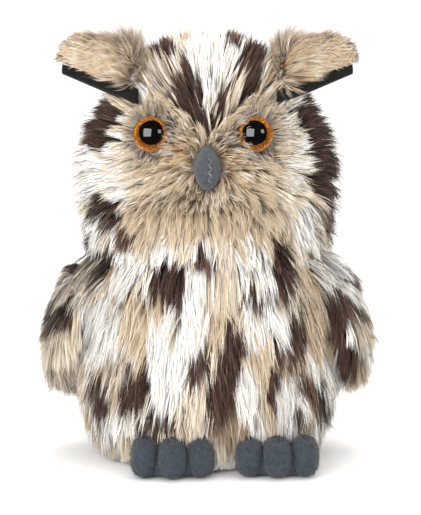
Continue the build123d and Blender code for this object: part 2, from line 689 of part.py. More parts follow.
with BuildPart() as battery_door:
    low = (DOOR_LOW_X + FIT, CELL_Y - DOOR_HALF_D + FIT, CASE_Z)
    high = (DOOR_HIGH_X - FIT, CELL_Y + DOOR_HALF_D - FIT, CASE_Z + DOOR_T)
    add(block(low, high))
    door_screw_plane = Plane(origin=(DOOR_SCREW_X, CELL_Y, CASE_Z))
    add(rod(door_screw_plane, SCREW_R, DOOR_T), mode=Mode.SUBTRACT)
save(battery_door, "battery_door")

with BuildPart() as battery_door_screw:
    add(rod(door_screw_plane.offset(-SCREW_HEAD_T), SCREW_HEAD_R, SCREW_HEAD_T))
    add(rod(door_screw_plane, SCREW_R, FLOOR + DOOR_BOSS_H - 1))
save(battery_door_screw, "battery_door_screw")


def lead(points):
    """A thin wire along straight runs joined by tangent arcs."""
    with BuildPart() as wire:
        with BuildLine():
            path = FilletPolyline(*points, radius=LEAD_BEND_R)
        with BuildSketch(Plane(origin=path @ 0, z_dir=path % 0)):
            Circle(LEAD_R)
        sweep()
    return wire.part


lead_y = BOARD_Y + BOARD_T / 2
speaker_back = front_inside + max(depth for radius, depth in BASKET)
with BuildPart() as speaker_leads:
    for side in SIDES.values():
        x = side * SWITCH_W / 2
        z = SPEAKER_Z + SPEAKER_TAG_RISE
        add(lead([(x, speaker_back, z), (x, lead_y, z), (x, lead_y, BOARD_LOW)]))
save(speaker_leads, "speaker_leads")

contact_x = cradle_x - CONTACT_T / 2
with BuildPart() as battery_leads:
    for side in SIDES.values():
        x = side * contact_x
        low_bend = (x, CELL_Y, contact_top + LEAD_RISE)
        high_bend = (x, lead_y, BOARD_LOW - LEAD_RISE)
        add(lead([(x, CELL_Y, contact_top), low_bend, high_bend, (x, lead_y, BOARD_LOW)]))
save(battery_leads, "battery_leads")
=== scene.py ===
import json
import math

import bmesh
import bpy
import numpy as np
from mathutils import Matrix, Vector
from mathutils.bvhtree import BVHTree
from mathutils.kdtree import KDTree


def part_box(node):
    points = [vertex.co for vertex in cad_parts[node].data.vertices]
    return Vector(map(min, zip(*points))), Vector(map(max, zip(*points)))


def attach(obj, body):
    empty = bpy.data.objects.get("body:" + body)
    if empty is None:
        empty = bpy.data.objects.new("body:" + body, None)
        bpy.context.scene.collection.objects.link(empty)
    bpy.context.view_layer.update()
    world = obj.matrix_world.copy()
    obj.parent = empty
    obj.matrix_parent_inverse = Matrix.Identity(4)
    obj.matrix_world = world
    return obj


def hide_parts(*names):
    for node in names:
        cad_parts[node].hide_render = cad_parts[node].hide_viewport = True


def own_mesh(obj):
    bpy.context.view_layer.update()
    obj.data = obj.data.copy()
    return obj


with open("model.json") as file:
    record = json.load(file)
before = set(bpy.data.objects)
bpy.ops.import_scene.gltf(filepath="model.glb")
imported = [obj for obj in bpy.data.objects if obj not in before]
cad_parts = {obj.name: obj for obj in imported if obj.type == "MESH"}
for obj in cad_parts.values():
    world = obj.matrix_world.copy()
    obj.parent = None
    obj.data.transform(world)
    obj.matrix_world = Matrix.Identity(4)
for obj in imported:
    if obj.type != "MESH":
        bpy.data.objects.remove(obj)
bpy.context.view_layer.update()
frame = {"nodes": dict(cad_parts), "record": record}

# The looks of a plush eagle owl. The maths below is in millimetres, and meshes are made in metres.
# The owl faces -Y; its own left is +X.

MM = 0.001
rng = np.random.default_rng(11)
UP = np.array([0.0, 0.0, 1.0])


# ---- small helpers ------------------------------------------------------------------------------------------
def unit(v):
    """Rows of v at length one."""
    return v / np.maximum(np.linalg.norm(v, axis=-1, keepdims=True), 1e-9)


def ramp(x, low, high):
    """0 below low, 1 above high, smooth between; it also runs backwards when low is above high."""
    t = np.clip((x - low) / (high - low), 0, 1)
    return t * t * (3 - 2 * t)


def node_box(*nodes):
    """The lowest and highest corners of some CAD nodes, in millimetres."""
    boxes = [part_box(n) for n in nodes]
    low = np.min([np.array(b[0]) for b in boxes], axis=0)
    high = np.max([np.array(b[1]) for b in boxes], axis=0)
    return low / MM, high / MM


def waves(p, scale, seed, count=5):
    """Smooth noise from -1 to 1 at points p, with features about scale millimetres across."""
    own = np.random.default_rng(seed)
    total = np.zeros(len(p))
    for _ in range(count):
        direction = unit(own.normal(size=3)) * own.uniform(0.7, 1.5) * 2 * math.pi / scale
        total += np.sin(p @ direction + own.uniform(0, 2 * math.pi))
    return total / count * 1.4


# ---- materials ----------------------------------------------------------------------------------------------
def new_material(name, **values):
    """A Principled material with plain socket values, and its node tree's helpers."""
    material = bpy.data.materials.new(name)
    material.use_nodes = True
    shader = material.node_tree.nodes["Principled BSDF"]
    for socket, value in values.items():
        shader.inputs[socket.replace("_", " ")].default_value = value
    return material, material.node_tree, shader


def node(tree, kind, **settings):
    """A shader node with its settings; keys that name inputs set those inputs."""
    made = tree.nodes.new(kind)
    for key, value in settings.items():
        if key in made.inputs:
            made.inputs[key].default_value = value
        else:
            setattr(made, key, value)
    return made


def mix_colour(tree, blend, factor, a, b):
    """A colour Mix node; factor, a and b are sockets or plain values."""
    mix = tree.nodes.new("ShaderNodeMix")
    mix.data_type = "RGBA"
    mix.blend_type = blend
    for socket, value in ((mix.inputs[0], factor), (mix.inputs[6], a), (mix.inputs[7], b)):
        if isinstance(value, bpy.types.NodeSocket):
            tree.links.new(value, socket)
        else:
            socket.default_value = value
    return mix.outputs[2]


def ramp_colours(tree, factor, stops):
    """A colour ramp fed by factor, with (position, colour) stops."""
    made = tree.nodes.new("ShaderNodeValToRGB")
    elements = made.color_ramp.elements
    while len(elements) < len(stops):
        elements.new(0.5)
    for element, (position, colour) in zip(elements, stops):
        element.position = position
        element.color = (*colour, 1)
    tree.links.new(factor, made.inputs["Fac"])
    return made.outputs["Color"]


def object_noise(tree, scale, detail=3, stretch=(1, 1, 1)):
    """Noise at points of the object, in cycles per metre."""
    place = tree.nodes.new("ShaderNodeTexCoord")
    mapping = node(tree, "ShaderNodeMapping", Scale=stretch)
    tree.links.new(place.outputs["Object"], mapping.inputs["Vector"])
    noise = node(tree, "ShaderNodeTexNoise", Scale=scale, Detail=detail)
    tree.links.new(mapping.outputs["Vector"], noise.inputs["Vector"])
    return noise.outputs["Fac"]


def bump(tree, shader, height, strength, distance):
    """Feeds a height into the shader's normal."""
    made = node(tree, "ShaderNodeBump", Strength=strength, Distance=distance)
    tree.links.new(height, made.inputs["Height"])
    tree.links.new(made.outputs["Normal"], shader.inputs["Normal"])


def fur_material(name, roughness=0.62, sheen=0.15):
    """Dyed fibre: the strand's colour, darker at the root partly as painted shade, broken up by fine streaks."""
    material, tree, shader = new_material(name, Roughness=roughness)
    shader.inputs["Sheen Weight"].default_value = sheen
    shader.inputs["Sheen Roughness"].default_value = 0.5
    shader.inputs["Specular IOR Level"].default_value = 0.15
    tone = node(tree, "ShaderNodeVertexColor", layer_name="tone")
    streak = object_noise(tree, 900, 2)
    shade = ramp_colours(tree, streak, [(0.3, (0.86, 0.86, 0.87)), (0.7, (1, 1, 1))])
    colour = mix_colour(tree, "MULTIPLY", 1.0, tone.outputs["Color"], shade)
    tree.links.new(colour, shader.inputs["Base Color"])
    return material


def felt_material(name, dark, light, scale, roughness=0.9, sheen=0.4):
    """Felt or fleece: matted fibre with light hairs and a soft nap."""
    material, tree, shader = new_material(name, Roughness=roughness)
    shader.inputs["Sheen Weight"].default_value = sheen
    shader.inputs["Specular IOR Level"].default_value = 0.2
    fibre = object_noise(tree, scale, 6, (1, 1, 2.2))
    blotch = object_noise(tree, scale / 6, 3)
    base = ramp_colours(tree, fibre, [(0.33, dark), (0.68, light)])
    patch = ramp_colours(tree, blotch, [(0.3, (0.82, 0.82, 0.82)), (0.7, (1.1, 1.1, 1.1))])
    tree.links.new(mix_colour(tree, "MULTIPLY", 1.0, base, patch), shader.inputs["Base Color"])
    bump(tree, shader, fibre, 0.6, 0.0006)
    return material


# ---- meshes -------------------------------------------------------------------------------------------------
def add_mesh(name, points, faces, body, material, smooth=True):
    """A mesh object in metres from points in millimetres, riding on a body."""
    mesh = bpy.data.meshes.new(name)
    mesh.from_pydata((np.asarray(points) * MM).tolist(), [], faces)
    mesh.materials.append(material)
    mesh.polygons.foreach_set("use_smooth", [smooth] * len(mesh.polygons))
    mesh.update()
    piece = bpy.data.objects.new(name, mesh)
    bpy.context.scene.collection.objects.link(piece)
    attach(piece, body)
    return piece


def grid_faces(rows, cols, wrap=True):
    """Quads of a grid of points, closed round its columns."""
    last = cols if wrap else cols - 1
    return [
        (r * cols + c, r * cols + (c + 1) % cols, (r + 1) * cols + (c + 1) % cols, (r + 1) * cols + c)
        for r in range(rows - 1)
        for c in range(last)
    ]


class Skin:
    """A smooth convex surface over some CAD nodes, as a grid of points by direction from a centre."""

    def __init__(self, nodes, centre, inset, rows=64, cols=128, smooth=4, down=0.0, up=0.0, extra=()):
        made = bmesh.new()
        for point in extra:
            made.verts.new(point)
        low, high = node_box(*nodes)
        for name in nodes:
            for vertex in frame["nodes"][name].data.vertices:
                point = vertex.co / MM
                made.verts.new(point)
                # a flat end is drawn out, so that the backing inside it reaches the end
                if down and point.z < low[2] + 0.5:
                    made.verts.new(point - Vector((0, 0, down)))
                if up and point.z > high[2] - 0.5:
                    made.verts.new(point + Vector((0, 0, up)))
        bmesh.ops.convex_hull(made, input=made.verts)
        tree = BVHTree.FromBMesh(made)
        made.free()
        self.centre = np.array(centre, float)
        elevations = np.linspace(-math.pi / 2, math.pi / 2, rows)
        azimuths = np.linspace(0, 2 * math.pi, cols, endpoint=False)
        points = np.zeros((rows, cols, 3))
        for r, e in enumerate(elevations):
            for c, a in enumerate(azimuths):
                way = Vector((math.cos(e) * math.cos(a), math.cos(e) * math.sin(a), math.sin(e)))
                points[r, c] = tree.ray_cast(Vector(centre), way)[0]
        for _ in range(smooth):
            middle = (np.roll(points, 1, 1) + np.roll(points, -1, 1)) / 2
            points[1:-1] = 0.4 * points[1:-1] + 0.3 * middle[1:-1] + 0.15 * (points[2:] + points[:-2])
        along = np.gradient(points, axis=0)
        round_it = (np.roll(points, -1, 1) - np.roll(points, 1, 1)) / 2
        normals = unit(np.cross(round_it, along))
        normals[0], normals[-1] = -UP, UP
        self.outer, self.normals = points, normals
        self.points = points - normals * inset
        du = self.points[1:, :] - self.points[:-1, :]
        dv = np.roll(self.points, -1, 1) - self.points
        self.areas = np.linalg.norm(np.cross(du, dv[:-1]), axis=2).ravel()
        self.area = self.areas.sum()

    def sample(self, count, draw):
        """Random points and normals on the inset surface, even by area."""
        rows, cols = self.points.shape[0] - 1, self.points.shape[1]
        cell = draw.choice(rows * cols, size=count, p=self.areas / self.area)
        r, c = cell // cols, cell % cols
        u, v = draw.random((2, count, 1))

        def between(grid):
            low = grid[r, c] * (1 - v) + grid[r, (c + 1) % cols] * v
            high = grid[r + 1, c] * (1 - v) + grid[r + 1, (c + 1) % cols] * v
            return low * (1 - u) + high * u

        return between(self.points), unit(between(self.normals))

    def backing(self, name, body, material, colours, keep=None):
        """The backing cloth as a mesh with the colours that colours(points, normals) gives."""
        rows, cols = self.points.shape[:2]
        flat, normals = self.points.reshape(-1, 3), self.normals.reshape(-1, 3)
        faces = grid_faces(rows, cols)
        if keep is not None:
            held = keep(flat)
            faces = [f for f in faces if all(held[i] for i in f)]
            used = sorted({i for f in faces for i in f})
            new = {old: number for number, old in enumerate(used)}
            faces = [tuple(new[i] for i in f) for f in faces]
            flat, normals = flat[used], normals[used]
        piece = add_mesh(name, flat, faces, body, material)
        attribute = piece.data.color_attributes.new("tone", "FLOAT_COLOR", "POINT")
        shade = np.ones((len(flat), 4))
        shade[:, :3] = colours(flat, normals)
        attribute.data.foreach_set("color", shade.astype(np.float32).ravel())
        return piece


# ---- fur ----------------------------------------------------------------------------------------------------
# fibre dyes: colour at the root, the middle and the tip; the darker roots are partly the fibres' own colour and
# partly painted shade deep in the pile
DYES = {
    "white": ((0.78, 0.74, 0.68), (0.94, 0.92, 0.88), (0.98, 0.97, 0.95)),
    "cream": ((0.52, 0.41, 0.29), (0.78, 0.67, 0.52), (0.89, 0.81, 0.68)),
    "tan": ((0.30, 0.21, 0.13), (0.56, 0.42, 0.27), (0.73, 0.58, 0.41)),
    "ginger": ((0.28, 0.15, 0.06), (0.62, 0.36, 0.15), (0.80, 0.55, 0.29)),
    "brown": ((0.017, 0.010, 0.008), (0.042, 0.022, 0.016), (0.074, 0.039, 0.029)),
    "russet": ((0.040, 0.022, 0.016), (0.105, 0.055, 0.038), (0.19, 0.115, 0.085)),
    "smoke": ((0.16, 0.12, 0.095), (0.36, 0.29, 0.23), (0.62, 0.54, 0.45)),
    # the "shade" dye is painted shade, laid under the beak and low on the skirt
    "shade": ((0.05, 0.035, 0.025), (0.20, 0.13, 0.085), (0.42, 0.31, 0.20)),
    "fleece": ((0.028, 0.036, 0.046), (0.062, 0.076, 0.094), (0.125, 0.147, 0.170)),
}
DYE_NAMES = list(DYES)
DYE = {name: number for number, name in enumerate(DYE_NAMES)}
# the dye of a stray fibre in a tuft of each dye
NEAR = ("cream", "tan", "cream", "tan", "russet", "brown", "cream", "smoke", "fleece")
NEAR_DYE = np.array([DYE[n] for n in NEAR])
SHADES = 32  # shades of each dye
STOPS = np.array([0.0, 0.36, 0.72, 1.0])  # where a strand's points lie along it
ATLAS_COLS = 32  # a strand's bake cell is one of 32 columns of cells
# roots tried for each coat, before those that lie outside it are dropped
ROOTS = {
    "head": 88000, "face": 190000, "torso": 112000, "wing": 34000, "tail": 9000, "ear": 21000, "fringe": 5200,
    "nap": 9000,
}


def dye_table():
    """Colours of every shade of every dye at a strand's points: (dyes, shades, points, 3)."""
    own = np.random.default_rng(5)
    table = np.zeros((len(DYES), SHADES, len(STOPS), 3))
    levels = np.linspace(0.86, 1.12, SHADES)
    for number, stops in enumerate(DYES.values()):
        stops = np.array(stops)
        for shade in range(SHADES):
            level = levels[shade]
            warmth = own.normal(0, 0.015)
            for k, s in enumerate(STOPS):
                colour = np.array([np.interp(s, (0, 0.45, 1), stops[:, channel]) for channel in range(3)])
                table[number, shade, k] = colour * level * (1 + warmth, 1, 1 - warmth)
    return np.clip(table, 0.004, 0.985)


DYE_TABLE = dye_table()


def strand_mesh(name, curves, sides, normals, widths, dyes, shades, body, material):
    """Tapered ribbons along curves (strands, points, 3), as one mesh that rides on a body."""
    count, steps = curves.shape[:2]
    taper = np.interp(STOPS, (0, 0.5, 1), (1.0, 1.0, 0.0)) ** 0.7
    half = sides * (widths[:, None, None] / 2) * taper[None, :, None]
    left, right = curves - half, curves + half
    per = 2 * steps - 1
    points = np.zeros((count, per, 3))
    points[:, 0:-1:2], points[:, 1:-1:2], points[:, -1] = left[:, :-1], right[:, :-1], curves[:, -1]
    quads = [(2 * k, 2 * k + 1, 2 * k + 3, 2 * k + 2) for k in range(steps - 2)]
    tip = (2 * steps - 4, 2 * steps - 3, 2 * steps - 2)
    one = np.array([i for quad in quads for i in quad] + list(tip))
    corners = (one[None, :] + per * np.arange(count)[:, None]).ravel()
    sizes = np.tile([4] * len(quads) + [3], count)
    starts = np.concatenate([[0], np.cumsum(sizes)[:-1]])

    mesh = bpy.data.meshes.new(name)
    mesh.vertices.add(count * per)
    mesh.vertices.foreach_set("co", (points * MM).astype(np.float32).ravel())
    mesh.loops.add(len(corners))
    mesh.loops.foreach_set("vertex_index", corners.astype(np.int32))
    mesh.polygons.add(len(sizes))
    mesh.polygons.foreach_set("loop_start", starts.astype(np.int32))
    mesh.polygons.foreach_set("use_smooth", np.ones(len(sizes), bool))
    mesh.materials.append(material)
    mesh.update(calc_edges=True)

    station = np.array([k for k in range(steps - 1) for _ in (0, 1)] + [steps - 1])
    colours = np.ones((count, per, 4), np.float32)
    colours[:, :, :3] = DYE_TABLE[dyes, shades][:, station]
    tone = mesh.color_attributes.new("tone", "FLOAT_COLOR", "POINT")
    tone.data.foreach_set("color", colours.ravel())

    # strands of one shade share a cell of the bake's map, since they have the same colours
    cell = dyes * SHADES + shades
    rows = len(DYES) * SHADES // ATLAS_COLS
    corner_u = np.array([(0.15, 0.85)[i % 2] if i < per - 1 else 0.5 for i in one])
    corner_v = 0.08 + 0.84 * STOPS[station[one]]
    u = (cell % ATLAS_COLS)[:, None] + corner_u[None, :]
    v = (cell // ATLAS_COLS)[:, None] + corner_v[None, :]
    uv = np.stack([u / ATLAS_COLS, v / rows], axis=2).astype(np.float32)
    mesh.uv_layers.new(name="OFBake").data.foreach_set("uv", uv.ravel())

    mesh.normals_split_custom_set_from_vertices(np.repeat(normals, per, axis=0).tolist())
    piece = bpy.data.objects.new(name, mesh)
    bpy.context.scene.collection.objects.link(piece)
    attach(piece, body)
    return piece


class Coat:
    """How the fur of one piece lies: functions of points and normals give its comb, length, lift and dyes."""

    def __init__(
        self, comb, length, lift, dye, width=0.34, lock=60.0, tuft=5.0, frizz=0.42, stray=0.13, ceiling=None,
        gather=(0.35, 0.95), droop=0.0,
    ):
        self.comb, self.length, self.lift, self.dye = comb, length, lift, dye
        # strand width, strands in a lock and in one of its tufts, looseness of a tip, unevenness of the comb
        self.width, self.lock, self.tuft, self.frizz, self.stray = width, lock, tuft, frizz, stray
        # a height that tips keep under, how far tufts close in on their tips, and how much a level strand hangs
        self.ceiling, self.gather, self.droop = ceiling, gather, droop


def nearest(points, hearts):
    """For each point, which of the hearts is nearest."""
    tree = KDTree(len(hearts))
    for number, heart in enumerate(hearts):
        tree.insert(heart, number)
    tree.balance()
    return np.array([tree.find(p)[1] for p in points])


def grow(name, roots, normals, coat, body, material, floor=0.8):
    """Grows a coat of strands: tufts close in on their own tips, and lean towards the tip of the lock they are in."""
    count = len(roots)
    lock_at = rng.choice(count, size=max(6, int(count / coat.lock)), replace=False)
    tuft_at = rng.choice(count, size=max(12, int(count / coat.tuft)), replace=False)
    tufts, locks = roots[tuft_at], roots[lock_at]
    tuft_of = nearest(roots, tufts)
    lock_of = nearest(tufts, locks)

    lock_n = normals[lock_at]
    lock_turn = rng.normal(0, coat.stray, (len(locks), 3))
    lock_long = rng.normal(1.0, 0.11, len(locks))
    tuft_n = unit(normals[tuft_at] + lock_n[lock_of])
    comb = unit(coat.comb(tufts, tuft_n)) + lock_turn[lock_of] + rng.normal(0, coat.stray * 0.5, tufts.shape)
    comb = unit(comb - tuft_n * np.sum(comb * tuft_n, axis=1, keepdims=True))
    length = coat.length(tufts, tuft_n) * lock_long[lock_of] * rng.normal(1.0, 0.09, len(tufts))
    lift = coat.lift(tufts, tuft_n) * rng.normal(1.0, 0.10, len(tufts)) * (1.7 - 0.7 * lock_long[lock_of])
    lift = np.minimum(lift, length * 0.92)

    # a tuft rises from the backing and then lies along the comb
    rise = tuft_n * (lift * 0.9)[:, None] + comb * (length * 0.2)[:, None]
    reach = tuft_n * lift[:, None] + comb * np.sqrt(length**2 - lift**2)[:, None]
    s = STOPS[None, :, None]
    guide = 2 * s * (1 - s) * rise[:, None] + s**2 * reach[:, None]
    lean = (locks[lock_of] - tufts)[:, None] * rng.uniform(0.2, 0.62, (len(tufts), 1, 1)) * s**1.3
    hang = (coat.droop * length * (1 + np.minimum(comb[:, 2], 0)))[:, None, None] * s**2 * UP
    guide = guide + lean - hang
    own = rng.normal(1.0, 0.10, (count, 1, 1))
    offset = (roots - tufts[tuft_of])[:, None]
    gather = rng.uniform(*coat.gather, (count, 1, 1))
    curves = roots[:, None] + guide[tuft_of] * own - offset * gather * s**1.2
    loose = np.where(rng.random((count, 1, 1)) < 0.04, 3.2, 1.0) * coat.frizz
    curves = curves + rng.normal(0, 1, (count, 1, 3)) * loose * s**1.5
    bend = rng.normal(0, 0.3, (count, 1, 3)) * coat.frizz
    curves = curves + bend * 4 * s * (1 - s)
    # nothing lies lower than the surface that the owl stands on, or over the ceiling
    low = floor + rng.random((count, 1)) * 1.5
    curves[:, :, 2] = np.maximum(curves[:, :, 2], low)
    if coat.ceiling is not None:
        over = np.maximum(curves[:, :, 2] - coat.ceiling, 0)
        curves[:, :, 2] -= over * 0.7

    along = unit(np.gradient(curves, axis=1))
    facing = unit(normals[:, None] + rng.normal(0, 0.5, (count, 1, 3)))
    sides = unit(np.cross(along, facing))
    # the light falls on tufts more than on single strands
    round_it = unit(np.cross(along[:, 1], np.cross(normals, along[:, 1])))
    tuft_tilt = rng.normal(0, 0.14, tufts.shape)[tuft_of]
    shade_n = unit(normals + 0.5 * round_it + tuft_tilt + rng.normal(0, 0.05, roots.shape))
    # a tuft has one dye, apart from a few fibres, read where it shows
    shown = tufts + guide[:, 2] * 1.1
    dyes = coat.dye(shown, tufts, tuft_n)[tuft_of]
    dyes = np.where(rng.random(count) < 0.14, NEAR_DYE[dyes], dyes)
    shades = rng.normal(SHADES / 2, SHADES / 5, count)
    shades = shades + rng.normal(0, SHADES / 6, len(tufts))[tuft_of]
    shades = np.clip(shades, 0, SHADES - 1)
    widths = coat.width * rng.uniform(0.7, 1.3, count)
    return strand_mesh(name, curves, sides, shade_n, widths, dyes, shades.astype(int), body, material)


# ---- where the owl's parts are ------------------------------------------------------------------------------
head_low, head_high = node_box("head_skin", "face_panel")
torso_low, torso_high = node_box("body_skin")
beak_low, beak_high = node_box("beak_felt")
beak_mid = (beak_low + beak_high) / 2
eyes = {}
for name in ("left", "right"):
    lens_low, lens_high = node_box(f"eye_{name}_lens")
    eyes[name] = (lens_low + lens_high) / 2
HEAD_MID = np.array([0.0, 0.0, (head_low[2] + head_high[2]) / 2 - 4])
TORSO_MID = np.array([0.0, 0.0, (torso_low[2] + torso_high[2]) / 2])
face_low, face_high = node_box("face_panel")
FACE_MID = (face_low + face_high) / 2
FACE_HALF = (face_high - face_low) / 2
NECK_Z = torso_high[2]

# ---- the mottled cloth --------------------------------------------------------------------------------------
LOOK_DOWN, LOOK_FROM = math.radians(6), 762.0  # how the owl is looked at from the front
AIM = np.array([1.4, -12.0, 94.0])
PATCH_MID, PATCH_SCALE = (0.7, 97.5), 0.9625  # the patches' own middle and scale
# patches seen from the front: x, z, half width, half height, lean in degrees (clockwise), dye
PATCHES = [
    # crown and forehead
    (3, 185, 13, 17, 0, "white"), (-21, 178, 6, 11, 10, "smoke"), (-9, 169, 6, 15, -12, "brown"),
    (6.5, 163, 3.2, 12, 8, "brown"), (-21, 191, 6, 4, 25, "brown"), (19, 182, 5, 13, 12, "brown"),
    (12, 195, 4, 3, 0, "russet"), (-17, 165, 2.5, 6, -10, "russet"), (3, 151, 4, 4, 0, "russet"),
    (13, 168, 4, 9, 0, "cream"),
    # sides of the head
    (-49, 156, 6, 11, 15, "brown"), (-56, 136, 6, 11, 0, "white"), (-47, 117, 6.5, 10, 15, "brown"),
    (-37, 110, 5, 9.5, 10, "russet"), (49, 159, 7, 12, -8, "brown"), (53, 137, 6, 13, -12, "brown"),
    (41, 116, 8, 7, -20, "white"), (55, 115, 3, 9, 0, "russet"), (-53, 105, 5, 8, 0, "white"),
    # shoulders and chest
    (-59, 99, 5, 9, 12, "brown"), (-48, 93, 5, 9, 30, "brown"), (-36, 86, 8, 13, -10, "white"),
    (-31, 76, 4.5, 4, 30, "brown"), (-18, 86, 8.5, 9, 10, "brown"), (-5, 83, 5, 5.5, 0, "white"),
    (-2, 92, 4.5, 6, 0, "russet"), (22, 89, 9.5, 9, 0, "white"), (34, 91, 5, 12.5, -15, "brown"),
    (24, 78.5, 11, 3.4, -8, "brown"), (8, 81, 6, 9, 0, "cream"), (44, 80, 5, 20, 0, "cream"),
    (52, 90, 6.5, 9, -20, "white"),
    # belly
    (-49, 66, 8, 13, 0, "white"), (-34, 69, 6.5, 10, 0, "tan"), (-15, 57, 11, 18, 22, "white"),
    (-4, 49, 4.5, 9, 18, "brown"), (5, 66, 5, 12, 0, "tan"), (11.5, 50, 6, 17, 0, "brown"),
    (28, 65, 11, 9.5, 0, "white"), (40, 63, 4.2, 13, 10, "brown"), (48, 70, 4.5, 19, 0, "tan"),
    (56, 73, 4, 9, 0, "brown"), (22, 51, 6, 8, 0, "tan"), (35.5, 54, 4.5, 6, 25, "russet"),
    (-43, 48, 5, 8, 0, "smoke"),
    # skirt
    (-49, 35, 4.2, 10, -12, "brown"), (-34, 38, 5.5, 11, 12, "brown"), (-21, 37, 7.3, 12, 8, "white"),
    (-6, 28, 9, 11, 12, "cream"), (6, 34, 5.8, 16, 0, "brown"), (17, 37, 5.2, 11, 0, "white"),
    (30, 38, 4.2, 9, -12, "brown"), (37, 31, 6, 12, 0, "white"), (51, 34, 3.4, 9.5, 0, "brown"),
    (56, 40, 4, 9, 0, "white"), (44, 41, 2.8, 7, -15, "russet"), (-25, 22, 10, 3.8, -12, "brown"),
    (-43, 20, 9, 4.6, 0, "white"), (-49, 14, 8, 4.5, 20, "smoke"), (42, 23, 3.2, 4, 0, "russet"),
    # the "shade" patch is painted shade low on the skirt
    (9, 19, 9, 5, 0, "shade"),
    # wings
    (-67, 71, 6, 10.5, 20, "brown"), (-61, 82, 6, 8, 20, "smoke"), (-67, 54, 8, 10, 0, "cream"),
    (-65, 42, 6, 5.5, 0, "smoke"), (63, 82, 8, 9.5, -35, "white"), (67, 88, 4, 3, -30, "russet"),
    (57, 71, 4, 12, 0, "brown"), (66, 70, 4.5, 6, -30, "russet"), (70, 64, 5, 6, -30, "cream"),
    (62, 51, 5, 8, -15, "brown"),
]
CELL_W, CELL_H = 17.0, 27.0  # size of the cloth's repeat where it isn't listed
CLOTH_R = 52  # the radius that this repeat is wrapped round


def seen(p):
    """Where points lie across and up as seen by someone in front of the owl, who looks slightly down on it."""
    deep = (p[:, 1] - AIM[1]) * math.cos(LOOK_DOWN) - (p[:, 2] - AIM[2]) * math.sin(LOOK_DOWN)
    high = (p[:, 2] - AIM[2]) * math.cos(LOOK_DOWN) + (p[:, 1] - AIM[1]) * math.sin(LOOK_DOWN)
    nearer = PATCH_SCALE * LOOK_FROM / (LOOK_FROM + deep)
    return PATCH_MID[0] + (p[:, 0] - AIM[0]) * nearer, PATCH_MID[1] + high * nearer


def cell_value(column, row, seed):
    """A repeatable number from 0 to 1 for each cell."""
    mixed = np.sin(column * 127.1 + row * 311.7 + seed * 74.7) * 43758.5453
    return mixed - np.floor(mixed)


def scattered(p, middle):
    """Dyes of the cloth away from the listed patches: stretched cells of white, brown and tan."""
    angle = np.arctan2(p[:, 1] - middle[1], p[:, 0] - middle[0])
    across = angle * CLOTH_R + waves(p, 21, 3) * 2.6
    down = p[:, 2] + waves(p, 25, 4) * 4.0 + waves(p, 7, 5) * 1.2
    columns = round(2 * math.pi * CLOTH_R / CELL_W)
    u, v = across / (2 * math.pi * CLOTH_R) * columns, down / CELL_H
    best = np.full(len(p), 1e9)
    pick = np.zeros(len(p))
    for du in (-1, 0, 1):
        for dv in (-1, 0, 1):
            row = np.floor(v) + dv
            raw = np.floor(u + 0.5 * (row % 2)) + du
            column = raw % columns
            cx = raw - 0.5 * (row % 2) + 0.2 + 0.6 * cell_value(column, row, 1)
            cy = row + 0.15 + 0.7 * cell_value(column, row, 2)
            gap = (u - cx) ** 2 + (v - cy) ** 2
            nearer = gap < best
            best = np.where(nearer, gap, best)
            pick = np.where(nearer, cell_value(column, row, 3), pick)
    kinds = ["white", "brown", "cream", "white", "tan", "brown", "smoke", "white", "russet", "cream"]
    table = np.array([DYE[k] for k in kinds])
    return table[np.minimum((pick * len(kinds)).astype(int), len(kinds) - 1)]


def mottled(p, roots, normals, middle=TORSO_MID):
    """Dyes of the mottled cloth, with a patch of painted shade low on the skirt, read where a strand shows."""
    spot = p + rng.normal(0, 0.5, p.shape)
    dyes = scattered(spot, middle)
    front = (normals[:, 1] < -0.12) | ((p[:, 1] < 6) & (np.abs(p[:, 0]) > 50))
    plain = waves(spot * (1, 1, 0.45), 13, 8) + rng.normal(0, 0.12, len(p))
    between = np.select([plain > 0.2, plain > -0.3], [DYE["white"], DYE["cream"]], DYE["tan"])
    dyes = np.where(front, between, dyes)
    edge = 1.25 + 0.2 * waves(spot, 6, 9)
    seen_x, seen_z = seen(spot)
    for x, z, half_w, half_h, lean, dye in PATCHES:
        turn = math.radians(lean)
        dx, dz = seen_x - x, seen_z - z
        across = dx * math.cos(turn) - dz * math.sin(turn)
        along = dx * math.sin(turn) + dz * math.cos(turn)
        inside = (across / half_w) ** 2 + (along / half_h) ** 2 < edge
        dyes = np.where(inside & front, DYE[dye], dyes)
    # now and then a tuft of the neighbouring colour
    return np.where(rng.random(len(p)) < 0.07, NEAR_DYE[dyes], dyes)


def shaded_backing_colour(dyes, level=0.62):
    """The backing cloth's colour under each dye, darkened to 0.62 as painted shade between the strands."""
    return DYE_TABLE[dyes, SHADES // 2, 2] * level


# ---- head ---------------------------------------------------------------------------------------------------
INSET = 9.0  # the backing lies this far inside the tips of the pile
head_skin = Skin(["head_skin", "face_panel"], HEAD_MID, INSET, down=14)
face_source = np.array([0.0, face_low[1] + 6, beak_high[2] - 6])
fur = fur_material("fur_mottled")
face_fur = fur_material("fur_face", 0.7, 0.2)


def in_face(p):
    """True for roots on the facial disc, whose top is cut by the pointed forehead."""
    across = np.abs(p[:, 0] - FACE_MID[0]) / (FACE_HALF[0] - 7 - 7 * ramp(p[:, 2], 128, 115))
    along = np.abs(p[:, 2] - FACE_MID[2]) / FACE_HALF[2]
    forehead = p[:, 2] > beak_high[2] + 3 + np.abs(p[:, 0]) * 1.0
    bearded = p[:, 2] > 112.5 + 1.5 * waves(p, 9, 14)
    return (across**3.2 + along**3.2 < 1) & ~forehead & bearded & (p[:, 1] < 0)


def eye_gap(p):
    """Distance from the nearer eye's middle, seen from the front."""
    gaps = [np.hypot(p[:, 0] - e[0], p[:, 2] - e[2]) for e in eyes.values()]
    return np.minimum(*gaps)


